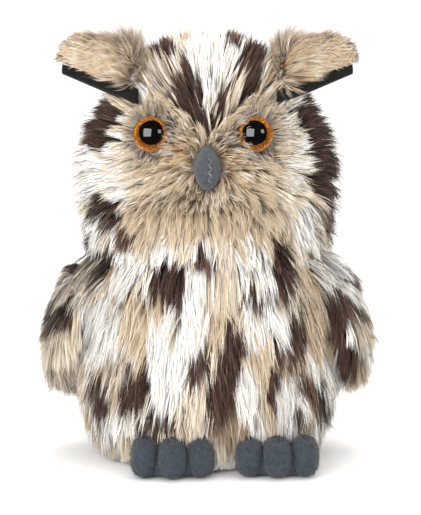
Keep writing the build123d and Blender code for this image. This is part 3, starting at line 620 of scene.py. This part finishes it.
def beak_gap(p):
    """Distance from the beak's middle, seen from the front and counted in beak widths' terms."""
    return np.hypot(p[:, 0] - beak_mid[0], (p[:, 2] - beak_mid[2]) * 0.75)


def bridge(p):
    """1 between the eyes, 0 beyond them."""
    return ramp(np.abs(p[:, 0]), eyes["left"][0] - 2, eyes["left"][0] - 8)


def beside_eye(p):
    """1 close to the outer side of each eye, where the fur stands up beside it."""
    return ramp(np.abs(p[:, 0]), 26, 33) * ramp(eye_gap(p), 16, 10)


def head_comb(p, n):
    """Away from the beak over the face, crown and cheeks, then down the back of the head."""
    away = unit(p - face_source)
    drop = ramp(p[:, 1], -25, 30)[:, None] * (0, 0, -1.6)
    sides = (ramp(np.abs(p[:, 0]), 38, 50) * ramp(p[:, 2], 150, 125))[:, None] * (0, 0.3, -0.9)
    beard = (ramp(p[:, 2], 126, 119) * ramp(p[:, 1], 10, -15))[:, None] * (0, 0, -4.5)
    comb = away + drop + beard + sides
    for eye in eyes.values():
        gap = np.hypot(p[:, 0] - eye[0], p[:, 2] - eye[2])
        near = (ramp(gap, 17, 8) * (1 - bridge(p)) * (p[:, 1] < 0))[:, None]
        comb = comb + near * 2.2 * unit((p - eye) * (1, 0.2, 1))
    return comb


def head_length(p, n):
    """Short round the eyes and the beak, long in the beard and behind."""
    front = 6.0 + 4.0 * ramp(eye_gap(p), 9, 20)
    front = np.minimum(front, 8.0 + 2.0 * ramp(beak_gap(p), 8, 24))
    front = front + 3 * bridge(p) * ramp(eye_gap(p), 14, 9)
    front = front + 4 * ramp(p[:, 2], 124, 117) + 3 * beside_eye(p)
    crown = 14 + 4 * ramp(p[:, 1], -20, 20) - 3 * ramp(p[:, 2], 178, 192) - 3 * ramp(p[:, 2], 108, 100)
    return np.where(in_face(p), front, crown)


def head_lift(p, n):
    """How far the tips stand off the backing."""
    front = 4.8 + 3.6 * ramp(eye_gap(p), 9, 18) + 5.5 * bridge(p) * ramp(eye_gap(p), 15, 9)
    front = front + 3.5 * beside_eye(p)
    front = np.minimum(front, 8 + 1.5 * ramp(beak_gap(p), 8, 16))
    front = front + 1.5 * ramp(p[:, 2], 132, 123) - 3.5 * ramp(p[:, 2], 121, 116)
    spikes = ramp(np.abs(p[:, 0]), 38, 46) * ramp(p[:, 2], 112, 130) * ramp(p[:, 2], 176, 160)
    side = 8.0 + 2.0 * ramp(np.abs(p[:, 0]), 38, 50) - 2.5 * ramp(p[:, 2], 176, 190) + 2.5 * spikes
    return np.where(in_face(p), front, side)


def face_dye_and_shade(p, roots, normals):
    """Tan and cream, paler at the rim of the disc and darker round the eyes, gingery beside the beak, with painted
    shade under the beak along the moustache.
    """
    streak = waves(p * (1, 1, 0.5), 8, 21) * 0.45 + rng.normal(0, 0.2, len(p))
    pale = ramp(np.abs(p[:, 0]), 30, 41) * 0.9 - ramp(eye_gap(p), 15, 10) * 1.6
    level = streak + pale - 0.1 - 0.35 * ramp(p[:, 2], 124, 112)
    kinds = [DYE["white"], DYE["cream"], DYE["tan"]]
    dyes = np.select([level > 0.8, level > 0.05, level > -1.0], kinds, DYE["smoke"])
    glow = np.exp(-(((np.abs(p[:, 0]) - 13) / 6) ** 2) - ((p[:, 2] - 139) / 8) ** 2)
    dyes = np.where(rng.random(len(p)) < glow * 0.7, DYE["ginger"], dyes)
    # painted shade under the beak, where the moustache overhangs the beard
    under = np.exp(-(((p[:, 0] + 10) / 15) ** 2) - ((p[:, 2] - 123) / 3.5) ** 2)
    return np.where(rng.random(len(p)) < under * 0.6, DYE["shade"], dyes)


def head_dye(p, roots, normals):
    """The facial disc's dyes and painted shade, and the mottled cloth everywhere else."""
    return np.where(in_face(roots), face_dye_and_shade(p, roots, normals), mottled(p, roots, normals, HEAD_MID))


def head_open(p):
    """True for roots outside the eyes and the beak, and above the neck."""
    oval = ((p[:, 0] - beak_mid[0]) / 5.4) ** 2 + ((p[:, 2] - beak_mid[2]) / 9.0) ** 2 > 1
    return (((eye_gap(p) > 7.6) & oval) | (p[:, 1] > -20)) & (p[:, 2] > NECK_Z + 1)


crown_coat = Coat(head_comb, head_length, head_lift, head_dye, ceiling=head_high[2] - 1)
face_coat = Coat(
    head_comb, head_length, head_lift, head_dye, 0.22, 110.0, 8.0, 0.55, 0.24, gather=(0.1, 0.7), droop=0.15
)
roots, root_n = head_skin.sample(ROOTS["head"], rng)
kept = head_open(roots) & ~in_face(roots)
roots, root_n = roots[kept], root_n[kept]
face_roots, face_n = head_skin.sample(ROOTS["face"], rng)
kept = head_open(face_roots) & in_face(face_roots)
face_roots, face_n = face_roots[kept], face_n[kept]
front = roots[:, 1] < 0
over = front & (roots[:, 2] > 150)
half = face_roots[:, 0] > 0
panels = [
    ("face_fur_left", face_roots[half], face_n[half], face_coat, face_fur),
    ("face_fur_right", face_roots[~half], face_n[~half], face_coat, face_fur),
    ("crown_fur", roots[over], root_n[over], crown_coat, fur),
    ("cheek_fur", roots[front & ~over], root_n[front & ~over], crown_coat, fur),
    ("head_back_fur", roots[~front], root_n[~front], crown_coat, fur),
]
for name, p, n, coat, material in panels:
    piece = grow(name, p, n, coat, "head", material)


def head_backing(p, n):
    """Backing colours of the head, darkened as painted shade."""
    return shaded_backing_colour(head_dye(p, p, n))


piece = head_skin.backing("head_cushion", "head", fur, head_backing, lambda p: p[:, 2] > NECK_Z)
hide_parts("head_skin", "face_panel", "head_stuffing")

# ---- torso --------------------------------------------------------------------------------------------------
torso_skin = Skin(["body_skin"], TORSO_MID, INSET, down=12, up=14)


def shoulder(p):
    """1 at the shoulders, over the tops of the wings, and 0 elsewhere."""
    return ramp(p[:, 2], 76, 88) * ramp(np.abs(p[:, 0]), 32, 42)


def torso_comb(p, n):
    """Down, fanning a little outward."""
    return np.array([0, 0, -1.0]) + 0.22 * unit(p * (1, 1, 0))


def torso_length(p, n):
    """Long all over, shorter at the hem."""
    return 21 - 8 * ramp(p[:, 2], 26, 8) + 5 * shoulder(p)


def torso_lift(p, n):
    """The pile stands off most at the skirt."""
    return 8.2 + 1.8 * ramp(p[:, 2], 60, 20) + 8 * shoulder(p)


torso_coat = Coat(torso_comb, torso_length, torso_lift, mottled, 0.36, droop=0.4)
roots, root_n = torso_skin.sample(ROOTS["torso"], rng)
kept = (roots[:, 2] > 5) & (roots[:, 2] < NECK_Z + 1)
for name in ("left", "right"):
    foot_low, foot_high = node_box(f"foot_{name}_fleece")
    over = (roots[:, 0] > foot_low[0] + 2) & (roots[:, 0] < foot_high[0] - 2)
    kept &= ~(over & (roots[:, 1] < 0) & (roots[:, 2] < foot_high[2] - 3))
roots, root_n = roots[kept], root_n[kept]
turn = np.degrees(np.arctan2(roots[:, 0], -roots[:, 1])) % 360
for number, name in enumerate(("front_left", "left", "back_left", "back_right", "right", "front_right")):
    mine = (turn >= number * 60) & (turn < number * 60 + 60)
    piece = grow(f"torso_fur_{name}", roots[mine], root_n[mine], torso_coat, "torso", fur)


def torso_backing(p, n):
    """Backing colours of the torso, darkened as painted shade."""
    return shaded_backing_colour(mottled(p, p, n))


piece = torso_skin.backing(
    "torso_cushion", "torso", fur, torso_backing, lambda p: (p[:, 2] < NECK_Z - 0.5) & (p[:, 2] > 4.5)
)
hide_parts("body_skin", "body_stuffing")

# ---- wings --------------------------------------------------------------------------------------------------
cloth = felt_material("lining_cloth", (0.33, 0.25, 0.17), (0.52, 0.42, 0.31), 900, sheen=0.2)


def lining(source, name, body, share, across=1):
    """The lining of a pad: its CAD node drawn in by a share, in height and along the axis across it."""
    low, high = node_box(source)
    middle = (low + high) / 2
    mesh = frame["nodes"][source].data
    points = np.array([v.co for v in mesh.vertices]) / MM
    for axis in (across, 2):
        points[:, axis] = middle[axis] + (points[:, axis] - middle[axis]) * share
    piece = add_mesh(name, points, [tuple(f.vertices) for f in mesh.polygons], body, cloth, False)
    # the cloth lies flat on its pad, so its cut is half of the mesh's whole surface
    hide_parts(source)


for name, side in (("left", 1), ("right", -1)):
    wing_low, wing_high = node_box(f"wing_{name}_fur", f"wing_{name}_lining")
    wing_mid = (wing_low + wing_high) / 2
    wing_skin = Skin([f"wing_{name}_fur", f"wing_{name}_lining"], wing_mid, 6.0, 40, 80)

    def wing_comb(p, n, side=side):
        """Down, back and a little out."""
        return np.array([0.03 * side, 0.1, -1.0]) + 0.15 * unit((p - wing_mid) * (0, 1, 0.4))

    def wing_length(p, n):
        """Long fur, longest at the tip of the wing and short along its top."""
        return 16 - 3 * ramp(p[:, 2], 52, 42) - 7 * ramp(n[:, 2], 0.3, 0.8)

    def wing_lift(p, n, side=side):
        """Low at the shoulder and on the face that lies against the torso."""
        return (5.4 + 1.6 * ramp(p[:, 2], 85, 60)) * (0.45 + 0.55 * ramp(n[:, 0] * side, -0.2, 0.4))

    wing_coat = Coat(wing_comb, wing_length, wing_lift, mottled, 0.36, droop=0.7)
    roots, root_n = wing_skin.sample(ROOTS["wing"], rng)
    kept = root_n[:, 0] * side > -0.25
    piece = grow(f"wing_{name}_coat", roots[kept], root_n[kept], wing_coat, f"wing_{name}", fur)
    pad = wing_skin.backing(f"wing_{name}_pad", f"wing_{name}", fur, torso_backing)
    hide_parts(f"wing_{name}_fur")
    lining(f"wing_{name}_lining", f"wing_{name}_cloth", f"wing_{name}", 0.8)

# ---- tail ---------------------------------------------------------------------------------------------------
tail_low, tail_high = node_box("tail_fur", "tail_lining")
tail_skin = Skin(["tail_fur", "tail_lining"], (tail_low + tail_high) / 2, 3.0, 32, 64)
tail_coat = Coat(
    lambda p, n: np.array([0, -0.05, -1.0]) + 0.012 * (p * (1, 0, 0)),
    lambda p, n: 13 - 7 * ramp(n[:, 2], 0.2, 0.7),
    lambda p, n: 3.6 + 0 * p[:, 0],
    mottled,
    0.36,
    droop=0.7,
)
roots, root_n = tail_skin.sample(ROOTS["tail"], rng)
kept = root_n[:, 1] > -0.55
piece = grow("tail_coat", roots[kept], root_n[kept], tail_coat, "tail", fur)
pad = tail_skin.backing("tail_pad", "tail", fur, torso_backing)
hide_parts("tail_fur")
lining("tail_lining", "tail_cloth", "tail", 0.85, across=0)

# ---- ear tufts ----------------------------------------------------------------------------------------------
FELT_ROWS, FELT_COLS = 28, 24  # the mesh of the felt underside
black_felt = felt_material("felt_black", (0.003, 0.003, 0.003), (0.014, 0.013, 0.013), 1200, sheen=0.06)
for name, side in (("left", 1), ("right", -1)):
    # the sewn root spreads forward over the front of the head
    turns = np.linspace(0, 2 * math.pi, 16)
    ring = [(side * 31, -23 + 6 * math.cos(t), 178 + 11 * math.sin(t)) for t in turns]
    ring += [(side * 59, -14 + 5 * math.cos(t), 182 + 4 * math.sin(t)) for t in turns]
    ear_skin = Skin([f"ear_{name}_fur"], sum(node_box(f"ear_{name}_fur")) / 2, 4.5, 40, 80, extra=ring)

    def ear_comb(p, n, side=side):
        """Out towards the tip and slightly up."""
        return np.array([side * 1.0, -0.15, 0.12]) + 0 * p

    def ear_length(p, n, side=side):
        """Medium pile, shorter at the tip and longer at the root."""
        return 9.0 - 4.5 * ramp(p[:, 0] * side, 50, 64) + 4 * ramp(p[:, 0] * side, 44, 36)

    def ear_lift(p, n, side=side):
        """Medium pile that stands fairly upright."""
        return 4.6 + 1.5 * ramp(p[:, 0] * side, 44, 36)

    def ear_dye(p, roots, normals):
        """Sandy tan with paler tips."""
        level = waves(p, 9, 31) * 0.5 + rng.normal(0, 0.25, len(p))
        return np.select([level > 0.35, level > -0.6], [DYE["cream"], DYE["tan"]], DYE["ginger"])

    ear_coat = Coat(ear_comb, ear_length, ear_lift, ear_dye, 0.26, 60.0, 6.0, 0.45, 0.2, gather=(0.2, 0.8))
    roots, root_n = ear_skin.sample(ROOTS["ear"], rng)
    kept = (root_n[:, 2] > -0.6) & (np.abs(roots[:, 0]) > 25)
    piece = grow(f"ear_{name}_coat", roots[kept], root_n[kept], ear_coat, f"ear_{name}", face_fur)
    # the ear pad's colour is darkened as painted shade between the strands
    pad = ear_skin.backing(f"ear_{name}_pad", f"ear_{name}", face_fur, lambda p, n: shaded_backing_colour(ear_dye(p, p, n)))
    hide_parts(f"ear_{name}_fur")

    # the felt underside: a wedge that is thick at the root and thin at the tip, in front of and below the fur
    points = []
    for r in range(FELT_ROWS):
        t = r / (FELT_ROWS - 1)
        middle = np.array([side * (31 + 35 * t), -20 + 9 * t, 167 + 12 * t])
        deep, under, over = 11.5 - 6 * t, 3.6 - 2.6 * t, 5.5 - 2.0 * t
        for c in range(FELT_COLS):
            around = 2 * math.pi * c / FELT_COLS
            thick = over if math.sin(around) > 0 else under
            points.append(middle + (0, deep * math.cos(around), thick * math.sin(around)))
    root_end = tuple(range(FELT_COLS))[::-1]
    tip_end = tuple(range(FELT_COLS * (FELT_ROWS - 1), FELT_COLS * FELT_ROWS))
    faces = grid_faces(FELT_ROWS, FELT_COLS) + [root_end, tip_end]
    piece = add_mesh(f"ear_{name}_underside", points, faces, f"ear_{name}", black_felt)
    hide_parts(f"ear_{name}_felt")

# ---- eyes ---------------------------------------------------------------------------------------------------
EYE_R, EYE_DOME, EYE_YAW = 8.0, 5.2, 6.0  # radius, height of the dome, and degrees that it looks outward
DOME_RINGS, DOME_COLS = 24, 64  # the dome's mesh
GATHER_R, GATHER_RINGS, GATHER_COLS = 7.2, 6, 40  # the cloth tube behind each eye
FRINGE_R = 7.3  # where the fringe is rooted round it


def eye_material(name, side):
    """A glossy dome over a glittering amber ring with a dark rim, and a black pupil."""
    material, tree, shader = new_material(name, Roughness=0.045, IOR=1.5)
    shader.inputs["Coat Weight"].default_value = 1.0
    shader.inputs["Coat Roughness"].default_value = 0.03
    place = tree.nodes.new("ShaderNodeTexCoord")

    def ring(x, z, inner, outer):
        """A mask that rises from 0 to 1 between two radii about a point of the eye's face."""
        gap = node(tree, "ShaderNodeVectorMath", operation="DISTANCE")
        flat = node(tree, "ShaderNodeVectorMath", operation="MULTIPLY")
        flat.inputs[1].default_value = (1, 0, 1)
        tree.links.new(place.outputs["Object"], flat.inputs[0])
        tree.links.new(flat.outputs[0], gap.inputs[0])
        gap.inputs[1].default_value = (x * MM, 0, z * MM)
        level = node(tree, "ShaderNodeMapRange")
        tree.links.new(gap.outputs["Value"], level.inputs["Value"])
        level.inputs["From Min"].default_value = inner * MM
        level.inputs["From Max"].default_value = outer * MM
        return level.outputs["Result"]

    flakes = node(tree, "ShaderNodeTexVoronoi", Scale=2600)
    tree.links.new(place.outputs["Object"], flakes.inputs["Vector"])
    ambers = [(0.25, (0.11, 0.030, 0.003)), (0.55, (0.30, 0.095, 0.010)), (0.85, (0.70, 0.30, 0.045))]
    rims = [(0.0, (0.5, 0.42, 0.4)), (0.3, (1, 1, 1)), (0.7, (1, 1, 1)), (0.95, (0.22, 0.13, 0.08))]
    glitter = ramp_colours(tree, flakes.outputs["Color"], ambers)
    shade = ramp_colours(tree, ring(0, 0, 5.6, 8.1), rims)
    iris = mix_colour(tree, "MULTIPLY", 1.0, glitter, shade)
    pupil = ring(-0.8 * side, 0.9, 5.25, 5.6)
    tree.links.new(mix_colour(tree, "MIX", pupil, (0.003, 0.003, 0.003, 1), iris), shader.inputs["Base Color"])
    return material


for name, side in (("left", 1), ("right", -1)):
    iris_low, iris_high = node_box(f"eye_{name}_iris")
    sphere_r = (EYE_R**2 + EYE_DOME**2) / (2 * EYE_DOME)
    spread = math.asin(EYE_R / sphere_r)
    points = []
    turns = [2 * math.pi * c / DOME_COLS for c in range(DOME_COLS)]
    for r in range(DOME_RINGS + 1):
        angle = spread * r / DOME_RINGS
        for around in turns:
            reach = sphere_r * math.sin(angle)
            height = sphere_r * math.cos(angle) - (sphere_r - EYE_DOME)
            points.append((reach * math.cos(around), -height, reach * math.sin(around)))
    # a short wall under the dome goes back to the plate
    points += [(EYE_R * math.cos(around), 0.6, EYE_R * math.sin(around)) for around in turns]
    back = tuple((DOME_RINGS + 1) * DOME_COLS + c for c in range(DOME_COLS))
    faces = grid_faces(DOME_RINGS + 2, DOME_COLS) + [back]
    piece = add_mesh(f"eye_{name}", points, faces, "head", eye_material(f"eye_amber_{name}", side))
    yaw = math.radians(EYE_YAW) * side
    rim = (iris_low + iris_high) / 2
    piece.matrix_world = Matrix.Translation(Vector(rim) * MM) @ Matrix.Rotation(yaw, 4, "Z")
    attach(piece, "head")
    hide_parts(f"eye_{name}_lens", f"eye_{name}_iris", f"eye_{name}_pupil")

    # the face cloth gathers behind the eye, and its pile sweeps back from there
    spin = np.array(Matrix.Rotation(yaw, 3, "Z"))
    points = []
    for r in range(GATHER_RINGS):
        for c in range(GATHER_COLS):
            around = 2 * math.pi * c / GATHER_COLS
            points.append((GATHER_R * math.cos(around), 0.4 + 1.9 * r, GATHER_R * math.sin(around)))
    points = np.array(points) @ spin.T + rim
    piece = add_mesh(f"eye_{name}_gather", points, grid_faces(GATHER_RINGS, GATHER_COLS), "head", cloth)
    turn = rng.uniform(0, 2 * math.pi, ROOTS["fringe"])
    depth = rng.uniform(1.4, 10.0, ROOTS["fringe"])
    radial = np.stack([np.cos(turn), 0 * turn, np.sin(turn)], axis=1)
    roots = (FRINGE_R * radial + depth[:, None] * (0, 1, 0)) @ spin.T + rim
    fringe = Coat(
        lambda p, n: n * 0 + (0, 1.0, -0.2),
        lambda p, n: 8.0 + 0 * p[:, 0],
        lambda p, n: 5.6 + 0 * p[:, 0],
        face_dye_and_shade,
        0.22, 90.0, 7.0, 0.5, 0.3, gather=(0.1, 0.6),
    )
    piece = grow(f"eye_{name}_fringe", roots, radial @ spin.T, fringe, "head", face_fur)

# ---- beak ---------------------------------------------------------------------------------------------------
grey_felt = felt_material("felt_grey", (0.032, 0.037, 0.044), (0.085, 0.094, 0.105), 1500, sheen=0.15)
BEAK_RINGS, BEAK_COLS = 28, 48
BEAK_SEAM_Y = -43  # the beak's seam with the face
reach = BEAK_SEAM_Y - beak_low[1]  # how far the beak stands out of it
points = []
for r in range(BEAK_RINGS):
    out = math.sin(math.pi / 2 * r / (BEAK_RINGS - 1))
    size = math.cos(math.pi / 2 * (r / (BEAK_RINGS - 1)) ** 1.15) ** 0.75
    for c in range(BEAK_COLS):
        around = 2 * math.pi * c / BEAK_COLS
        across, height = math.cos(around), math.sin(around)
        narrow = 1 - 0.34 * max(height, 0) ** 1.5 - 0.12 * max(-height, 0) ** 2
        x = beak_mid[0] + 6.2 * across * narrow * size
        z = beak_mid[2] + 0.3 + 9.7 * height * size - 2.4 * out**2
        points.append((x, BEAK_SEAM_Y - reach * out, z))
points = np.array(points)
points += unit(points - beak_mid) * (waves(points, 4, 41) * 0.10)[:, None]
piece = add_mesh("beak", points, grid_faces(BEAK_RINGS, BEAK_COLS), "head", grey_felt)
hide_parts("beak_felt", "beak_filling")


def tube(name, path, radius, body, material, sides=6):
    """A thin thread along points in millimetres."""
    path = np.asarray(path, float)
    along = unit(np.gradient(path, axis=0))
    across = unit(np.cross(along, (0.3, 1.0, 0.2)))
    other = np.cross(along, across)
    turn = np.linspace(0, 2 * math.pi, sides, endpoint=False)
    cosine, sine = np.cos(turn)[None, :, None], np.sin(turn)[None, :, None]
    rings = path[:, None] + radius * (cosine * across[:, None] + sine * other[:, None])
    return add_mesh(name, rings.reshape(-1, 3), grid_faces(len(path), sides), body, material)


thread = felt_material("thread_grey", (0.10, 0.10, 0.10), (0.24, 0.235, 0.22), 2500, sheen=0.1)
beak_tree = BVHTree.FromPolygons([Vector(p) for p in points], grid_faces(BEAK_RINGS, BEAK_COLS))
stitches = []
for number in range(7):
    z = beak_mid[2] - 5.2 + number * 1.55
    lean = 0.5 if number % 2 else -0.5
    for end in (-1, 1):
        x = beak_mid[0] + 1.3 + end * 0.75
        stitches.append((x, z + end * lean))
path = []
for (x0, z0), (x1, z1) in zip(stitches, stitches[1:]):
    for t in np.linspace(0, 1, 6, endpoint=False):
        x, z = x0 + (x1 - x0) * t, z0 + (z1 - z0) * t
        hit = beak_tree.ray_cast(Vector((x, -90, z)), Vector((0, 1, 0)))[0]
        path.append((x, hit.y - 0.12 - 0.22 * math.sin(math.pi * t), z))
piece = tube("beak_stitches", path, 0.2, "head", thread)

# ---- feet ---------------------------------------------------------------------------------------------------
fleece = felt_material("fleece_grey", (0.021, 0.028, 0.036), (0.062, 0.077, 0.095), 1400, sheen=0.15)


PILLOW_ROWS, PILLOW_COLS = 36, 56
PILLOW = PILLOW_ROWS * PILLOW_COLS  # points of one rounded solid


def rounded(middle, half, power):
    """Points of a pillow-like solid with a flat sole, and their outward directions."""
    points = []
    for r in range(PILLOW_ROWS):
        e = -math.pi / 2 + math.pi * r / (PILLOW_ROWS - 1)
        for c in range(PILLOW_COLS):
            a = 2 * math.pi * c / PILLOW_COLS
            way = np.array([math.cos(e) * math.cos(a), math.cos(e) * math.sin(a), math.sin(e)])
            points.append(way / (np.abs(way) ** power).sum() ** (1 / power))
    ways = unit(np.array(points) / half)
    points = middle + np.array(points) * half
    points += ways * (waves(points, 6, 51) * 0.22 + waves(points, 2.2, 52) * 0.10)[:, None]
    points[:, 2] = np.maximum(points[:, 2], 0.15)
    return points, ways


for name in ("left", "right"):
    foot_low, foot_high = node_box(f"foot_{name}_fleece")
    toe_w = (foot_high[0] - foot_low[0]) / 3
    solids = []
    for toe in (-1, 0, 1):
        back = 2.5 * abs(toe)
        grow_by = 1.07 if toe == 0 else 1.0
        half = np.array([toe_w / 2 * grow_by, 12.5, (foot_high[2] - foot_low[2]) / 2])
        middle = np.array([(foot_low[0] + foot_high[0]) / 2 + toe * toe_w, foot_low[1] + back + 12.5, half[2]])
        solids.append((middle, half, 2.5))
    # the instep behind the toes goes under the fur
    middle = np.array([(foot_low[0] + foot_high[0]) / 2, foot_high[1] - 13.5, 6.0])
    solids.append((middle, np.array([toe_w * 1.35, 13.0, 6.0]), 3.0))
    all_points, all_ways, all_faces = [], [], []
    for number, (middle, half, power) in enumerate(solids):
        points, ways = rounded(middle, half, power)
        all_faces += [tuple(i + number * PILLOW for i in f) for f in grid_faces(PILLOW_ROWS, PILLOW_COLS)]
        all_points.append(points)
        all_ways.append(ways)
    points, ways = np.vstack(all_points), np.vstack(all_ways)
    piece = add_mesh(f"foot_{name}", points, all_faces, "torso", fleece)
    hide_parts(f"foot_{name}_fleece", f"foot_{name}_filling")
    # the fleece's nap
    pick = rng.integers(0, 3 * PILLOW, ROOTS["nap"])
    roots = points[pick] + rng.normal(0, 0.3, (ROOTS["nap"], 3))
    nap_n = ways[pick]
    kept = (roots[:, 2] > 1.2) & (nap_n[:, 1] < 0.6)
    roots, nap_n = roots[kept] - nap_n[kept] * 0.5, nap_n[kept]
    nap = Coat(
        lambda p, n: rng.normal(0, 1, p.shape),
        lambda p, n: 1.5 + 0 * p[:, 0],
        lambda p, n: 0.9 + 0 * p[:, 0],
        lambda p, r, n: np.full(len(p), DYE["fleece"]),
        0.16, 12.0, 3.0, 0.3, 0.4,
    )
    piece = grow(f"foot_{name}_nap", roots, nap_n, nap, "torso", face_fur, 0.3)

# ---- the pieces that keep their CAD shape -------------------------------------------------------------------
webbing = felt_material("base_cloth", (0.13, 0.10, 0.08), (0.26, 0.21, 0.165), 1500, sheen=0.2)
hooks = felt_material("hook_and_loop", (0.006, 0.006, 0.006), (0.05, 0.05, 0.05), 3000, sheen=0.1)
fill = felt_material("fibre_fill", (0.62, 0.62, 0.60), (0.92, 0.92, 0.90), 500)
board = felt_material("fibre_board", (0.28, 0.19, 0.11), (0.48, 0.36, 0.24), 700, sheen=0.0)
paper = felt_material("speaker_paper", (0.025, 0.025, 0.027), (0.07, 0.07, 0.07), 900, sheen=0.0)


def moulded_material(name, dark, light, roughness, metallic=0.0, scale=300):
    """Plastic or metal with faint mould or brush marks and an uneven gloss."""
    material, tree, shader = new_material(name, Roughness=roughness, Metallic=metallic)
    grain = object_noise(tree, scale, 4, (1, 1, 6) if metallic else (1, 1, 1))
    tree.links.new(ramp_colours(tree, grain, [(0.35, dark), (0.65, light)]), shader.inputs["Base Color"])
    bump(tree, shader, grain, 0.15, 0.0002)
    return material


finish = {
    "base_cloth": webbing, "hook_and_loop": hooks, "fibre_fill": fill, "fibre_board": board, "speaker_paper": paper,
    "felt_black": black_felt, "lining_cloth": cloth, "fleece_grey": fleece, "felt_grey": grey_felt,
    "fur_mottled": fur, "fur_tan": face_fur,
    "pellet_plastic": moulded_material("pellet_plastic", (0.6, 0.6, 0.57), (0.85, 0.85, 0.82), 0.4, scale=900),
    "eye_clear": moulded_material("eye_clear", (0.9, 0.9, 0.9), (0.95, 0.95, 0.95), 0.05),
    "eye_amber": moulded_material("eye_amber_plain", (0.5, 0.18, 0.02), (0.8, 0.36, 0.06), 0.2, scale=2000),
    "black_plastic": moulded_material("black_plastic", (0.004, 0.004, 0.004), (0.012, 0.012, 0.012), 0.2),
    "joint_plastic": moulded_material("joint_plastic", (0.74, 0.73, 0.69), (0.82, 0.81, 0.78), 0.45),
    "case_plastic": moulded_material("case_plastic", (0.70, 0.70, 0.68), (0.78, 0.78, 0.76), 0.42),
    "button_plastic": moulded_material("button_plastic", (0.48, 0.05, 0.03), (0.56, 0.07, 0.045), 0.3),
    "board_green": moulded_material("board_green", (0.01, 0.09, 0.035), (0.02, 0.14, 0.06), 0.4, scale=1500),
    "chip_black": moulded_material("chip_black", (0.010, 0.010, 0.010), (0.03, 0.03, 0.03), 0.5, scale=1500),
    "steel": moulded_material("steel", (0.42, 0.42, 0.44), (0.62, 0.62, 0.64), 0.3, 1.0, 900),
    "speaker_metal": moulded_material("speaker_metal", (0.05, 0.05, 0.055), (0.09, 0.09, 0.10), 0.45, 0.6, 900),
    "wire_red_black": moulded_material("wire_red_black", (0.30, 0.02, 0.02), (0.40, 0.035, 0.03), 0.45),
}
for subpart in frame["record"]["subparts"]:
    mesh = frame["nodes"][subpart["node"]].data
    mesh.materials.clear()
    mesh.materials.append(finish[subpart["material_slot"]])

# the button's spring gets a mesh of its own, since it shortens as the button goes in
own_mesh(frame["nodes"]["button_spring"])

# ---- stage, lights and camera -------------------------------------------------------------------------------
floor_material, tree, shader = new_material("floor_white", Roughness=0.7)
shader.inputs["Base Color"].default_value = (0.96, 0.96, 0.96, 1)
shader.inputs["Specular IOR Level"].default_value = 0.0
bpy.ops.mesh.primitive_plane_add(size=6)
floor = bpy.context.object
floor.name = "floor"
floor.data.materials.append(floor_material)
floor.visible_glossy = False

world = bpy.data.worlds.new("studio")
bpy.context.scene.world = world
world.use_nodes = True
world.node_tree.nodes["Background"].inputs["Color"].default_value = (1, 0.99, 0.975, 1)
world.node_tree.nodes["Background"].inputs["Strength"].default_value = 0.95
world.cycles_visibility.glossy = False


def soft_light(name, place, size, watts, target=(0, 0, 0.1)):
    """A square softbox aimed at the owl."""
    data = bpy.data.lights.new(name, "AREA")
    data.size = size
    data.energy = watts
    lamp = bpy.data.objects.new(name, data)
    lamp.location = place
    lamp.rotation_euler = (Vector(target) - Vector(place)).to_track_quat("-Z", "Y").to_euler()
    bpy.context.scene.collection.objects.link(lamp)
    return lamp


soft_light("key", (-0.46, -1.0, 0.36), 0.9, 9)
soft_light("fill", (0.9, -0.8, 0.5), 0.4, 1.5)
soft_light("top", (0.1, 0.2, 1.2), 0.9, 5).visible_glossy = False

LENS, SENSOR = 115.5, 36.0
aim = Vector(AIM) * MM
camera_data = bpy.data.cameras.new("camera")
camera_data.lens, camera_data.sensor_width = LENS, SENSOR
camera = bpy.data.objects.new("camera", camera_data)
camera.location = aim + Vector((0, -math.cos(LOOK_DOWN), math.sin(LOOK_DOWN))) * LOOK_FROM * MM
camera.rotation_euler = (aim - camera.location).to_track_quat("-Z", "Y").to_euler()
bpy.context.scene.collection.objects.link(camera)
bpy.context.scene.camera = camera
bpy.context.scene.view_settings.view_transform = "Standard"
bpy.context.scene.view_settings.exposure = 0.22
bpy.context.scene.cycles.use_denoising = True
